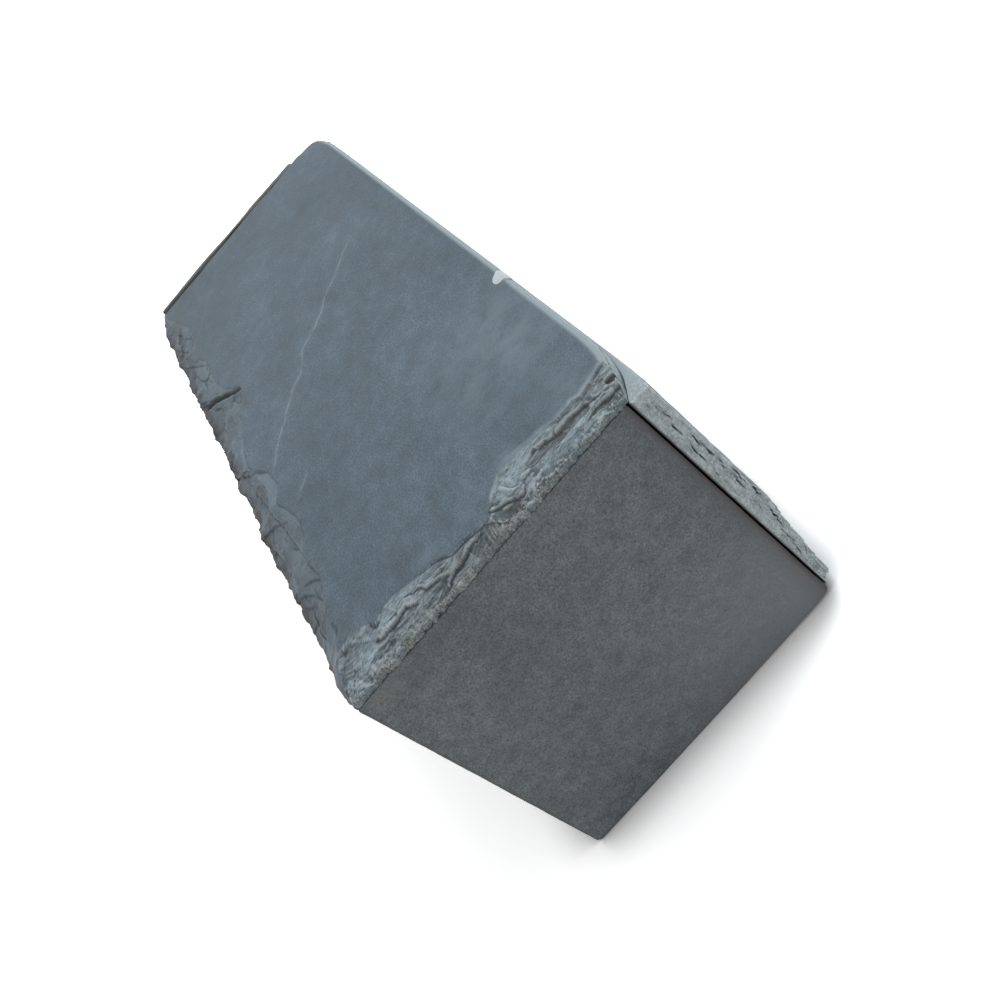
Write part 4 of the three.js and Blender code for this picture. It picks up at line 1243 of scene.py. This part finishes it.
DROP_AT = (54.8, 79.3)
DROP_HIGH = 0.75
DROP_SIDE = 56.98        # the lid's right side, which it doesn't run over
drop_outline = [
    (0, 2.2), (51, 3.5), (73, 4.1), (100, 2.85), (153, 2.5), (197, 2.7), (234, 3.2), (274, 3), (291, 4.8),
    (321, 2.8), (360, 2.2),
]
angles = np.linspace(0, 360, 49)[:-1]
reach = np.interp(angles, [a for a, _ in drop_outline], [r for _, r in drop_outline])
angles = np.radians(angles)
rings = []
for share in (0.01, 0.2, 0.4, 0.6, 0.75, 0.87, 0.95, 1, 0.93):
    ring_x = DROP_AT[0] + share * reach * np.cos(angles)
    ring_v = DROP_AT[1] + share * reach * np.sin(angles)
    ring_x = np.minimum(ring_x, DROP_SIDE)
    drop_in = np.clip(DROP_SIDE - 0.02 - ring_x, 0, ARRIS)
    under = lid_high[2] - 0.06 - ARRIS + np.sqrt(np.clip(ARRIS ** 2 - (ARRIS - drop_in) ** 2, 0, None))
    swelling = DROP_HIGH * math.sqrt(1 - share ** 2) if len(rings) < 8 else -0.25
    swelling *= 1 + 0.5 * rough(flat_at(ring_x, ring_v), 1.6, 3, 141)
    ring_z = np.minimum(under + swelling, lid_high[2] - 0.01)
    rings.append(np.stack([ring_x, ring_v + lid_low[1], ring_z], -1))
count = len(angles)
number = np.arange(len(rings) * count).reshape(len(rings), count)
beside = np.roll(number, -1, 1)
quads = np.stack([number[:-1], number[1:], beside[1:], beside[:-1]], -1).reshape(-1, 4)
faces = [list(q) for q in quads] + [list(number[0]), list(number[-1][::-1])]
adhesive = slate_finish("adhesive", (0.5, 0.56, 0.58), (0.68, 0.72, 0.73), 0.6, 0.12, 0.05, 0.1)
drop = stone_piece("adhesive_drop", np.concatenate(rings), faces, adhesive, crease=60)
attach(drop, "root")

# ------------------------------------------------------------- floor and light
# A plain pale floor and soft daylight from above, to the right and behind. The
# camera sees the floor as white, the box keeps its shadow on it, and a painted
# contact shadow darkens it close to the box.


def looked_at(tree):
    """1 where the camera or a reflection looks at it, and 0 where it only lights the box."""
    path = node(tree, "ShaderNodeLightPath")
    seen = sums(tree, "MAXIMUM", path.outputs["Is Camera Ray"], path.outputs["Is Glossy Ray"])
    return sums(tree, "MAXIMUM", seen, path.outputs["Is Transmission Ray"])


# The floor's tone as the box sees it, as the camera sees it, and with its painted contact shadow close to
# the box.
FLOOR_PALE, FLOOR_SEEN, FLOOR_FOOT_SHADOW = (0.65, 0.65, 0.65, 1), (2.1, 2.1, 2.1, 1), (0.75, 0.75, 0.75, 1)
FOOT_REACH = 17
floor_mesh = bpy.data.meshes.new("floor")
floor_mesh.from_pydata([(-9, -9, 0), (9, -9, 0), (9, 9, 0), (-9, 9, 0)], [], [(0, 1, 2, 3)])
floor = placed("floor", floor_mesh)
pale = bpy.data.materials.new("pale_floor")
pale.use_nodes = True
tree = pale.node_tree
tree.nodes.remove(tree.nodes["Principled BSDF"])
surface = node(tree, "ShaderNodeBsdfDiffuse")
# A painted contact shadow: the camera's white floor darkens where the box hides the sky within FOOT_REACH.
foot_occlusion = node(tree, "ShaderNodeAmbientOcclusion", samples=8)
foot_occlusion.inputs["Distance"].default_value = FOOT_REACH * MM
white_with_shadow = blend_colour(tree, spread(tree, foot_occlusion.outputs["AO"], 0.45, 0.95, 0, 1), FLOOR_FOOT_SHADOW, FLOOR_SEEN)
tree.links.new(blend_colour(tree, looked_at(tree), FLOOR_PALE, white_with_shadow), surface.inputs["Color"])
tree.links.new(surface.outputs[0], tree.nodes["Material Output"].inputs["Surface"])
floor_mesh.materials.append(pale)

SKY = 0.6
world = bpy.data.worlds.new("sky")
world.use_nodes = True
bpy.context.scene.world = world
tree = world.node_tree
sky = tree.nodes["Background"]
sky.inputs["Color"].default_value = (1, 1, 1, 1)
tree.links.new(spread(tree, looked_at(tree), 0, 1, SKY, 1), sky.inputs["Strength"])

LAMP_WIDE, LAMP_POWER, LAMP_COLOUR = 0.7, 5.3, (0.94, 0.98, 1)
LAMP_AT = Vector((0.6, 0.3, 0.9))
lamp_data = bpy.data.lights.new("window", "AREA")
lamp_data.size = LAMP_WIDE
lamp_data.energy = LAMP_POWER
lamp_data.color = LAMP_COLOUR
lamp = placed("window", lamp_data)
towards_box = (Vector((0, 0, 0.1)) - LAMP_AT).to_track_quat("-Z", "Y").to_matrix()
lamp.matrix_world = Matrix.Translation(LAMP_AT) @ towards_box.to_4x4()

SENSOR, LENS = 36, 42.738
EYE = Vector((0.041963, -0.3852465, 0.276219))
AIM = Vector((0.0102268, -0.136579, 0.1007))
ROLL = math.radians(-53.072)
camera_data = bpy.data.cameras.new("camera")
camera_data.sensor_width = SENSOR
camera_data.lens = LENS
camera = placed("camera", camera_data)
turn = (AIM - EYE).to_track_quat("-Z", "Y").to_matrix() @ Matrix.Rotation(ROLL, 3, "Z")
camera.matrix_world = Matrix.Translation(EYE) @ turn.to_4x4()
bpy.context.scene.camera = camera
bpy.context.scene.view_settings.view_transform = "Standard"
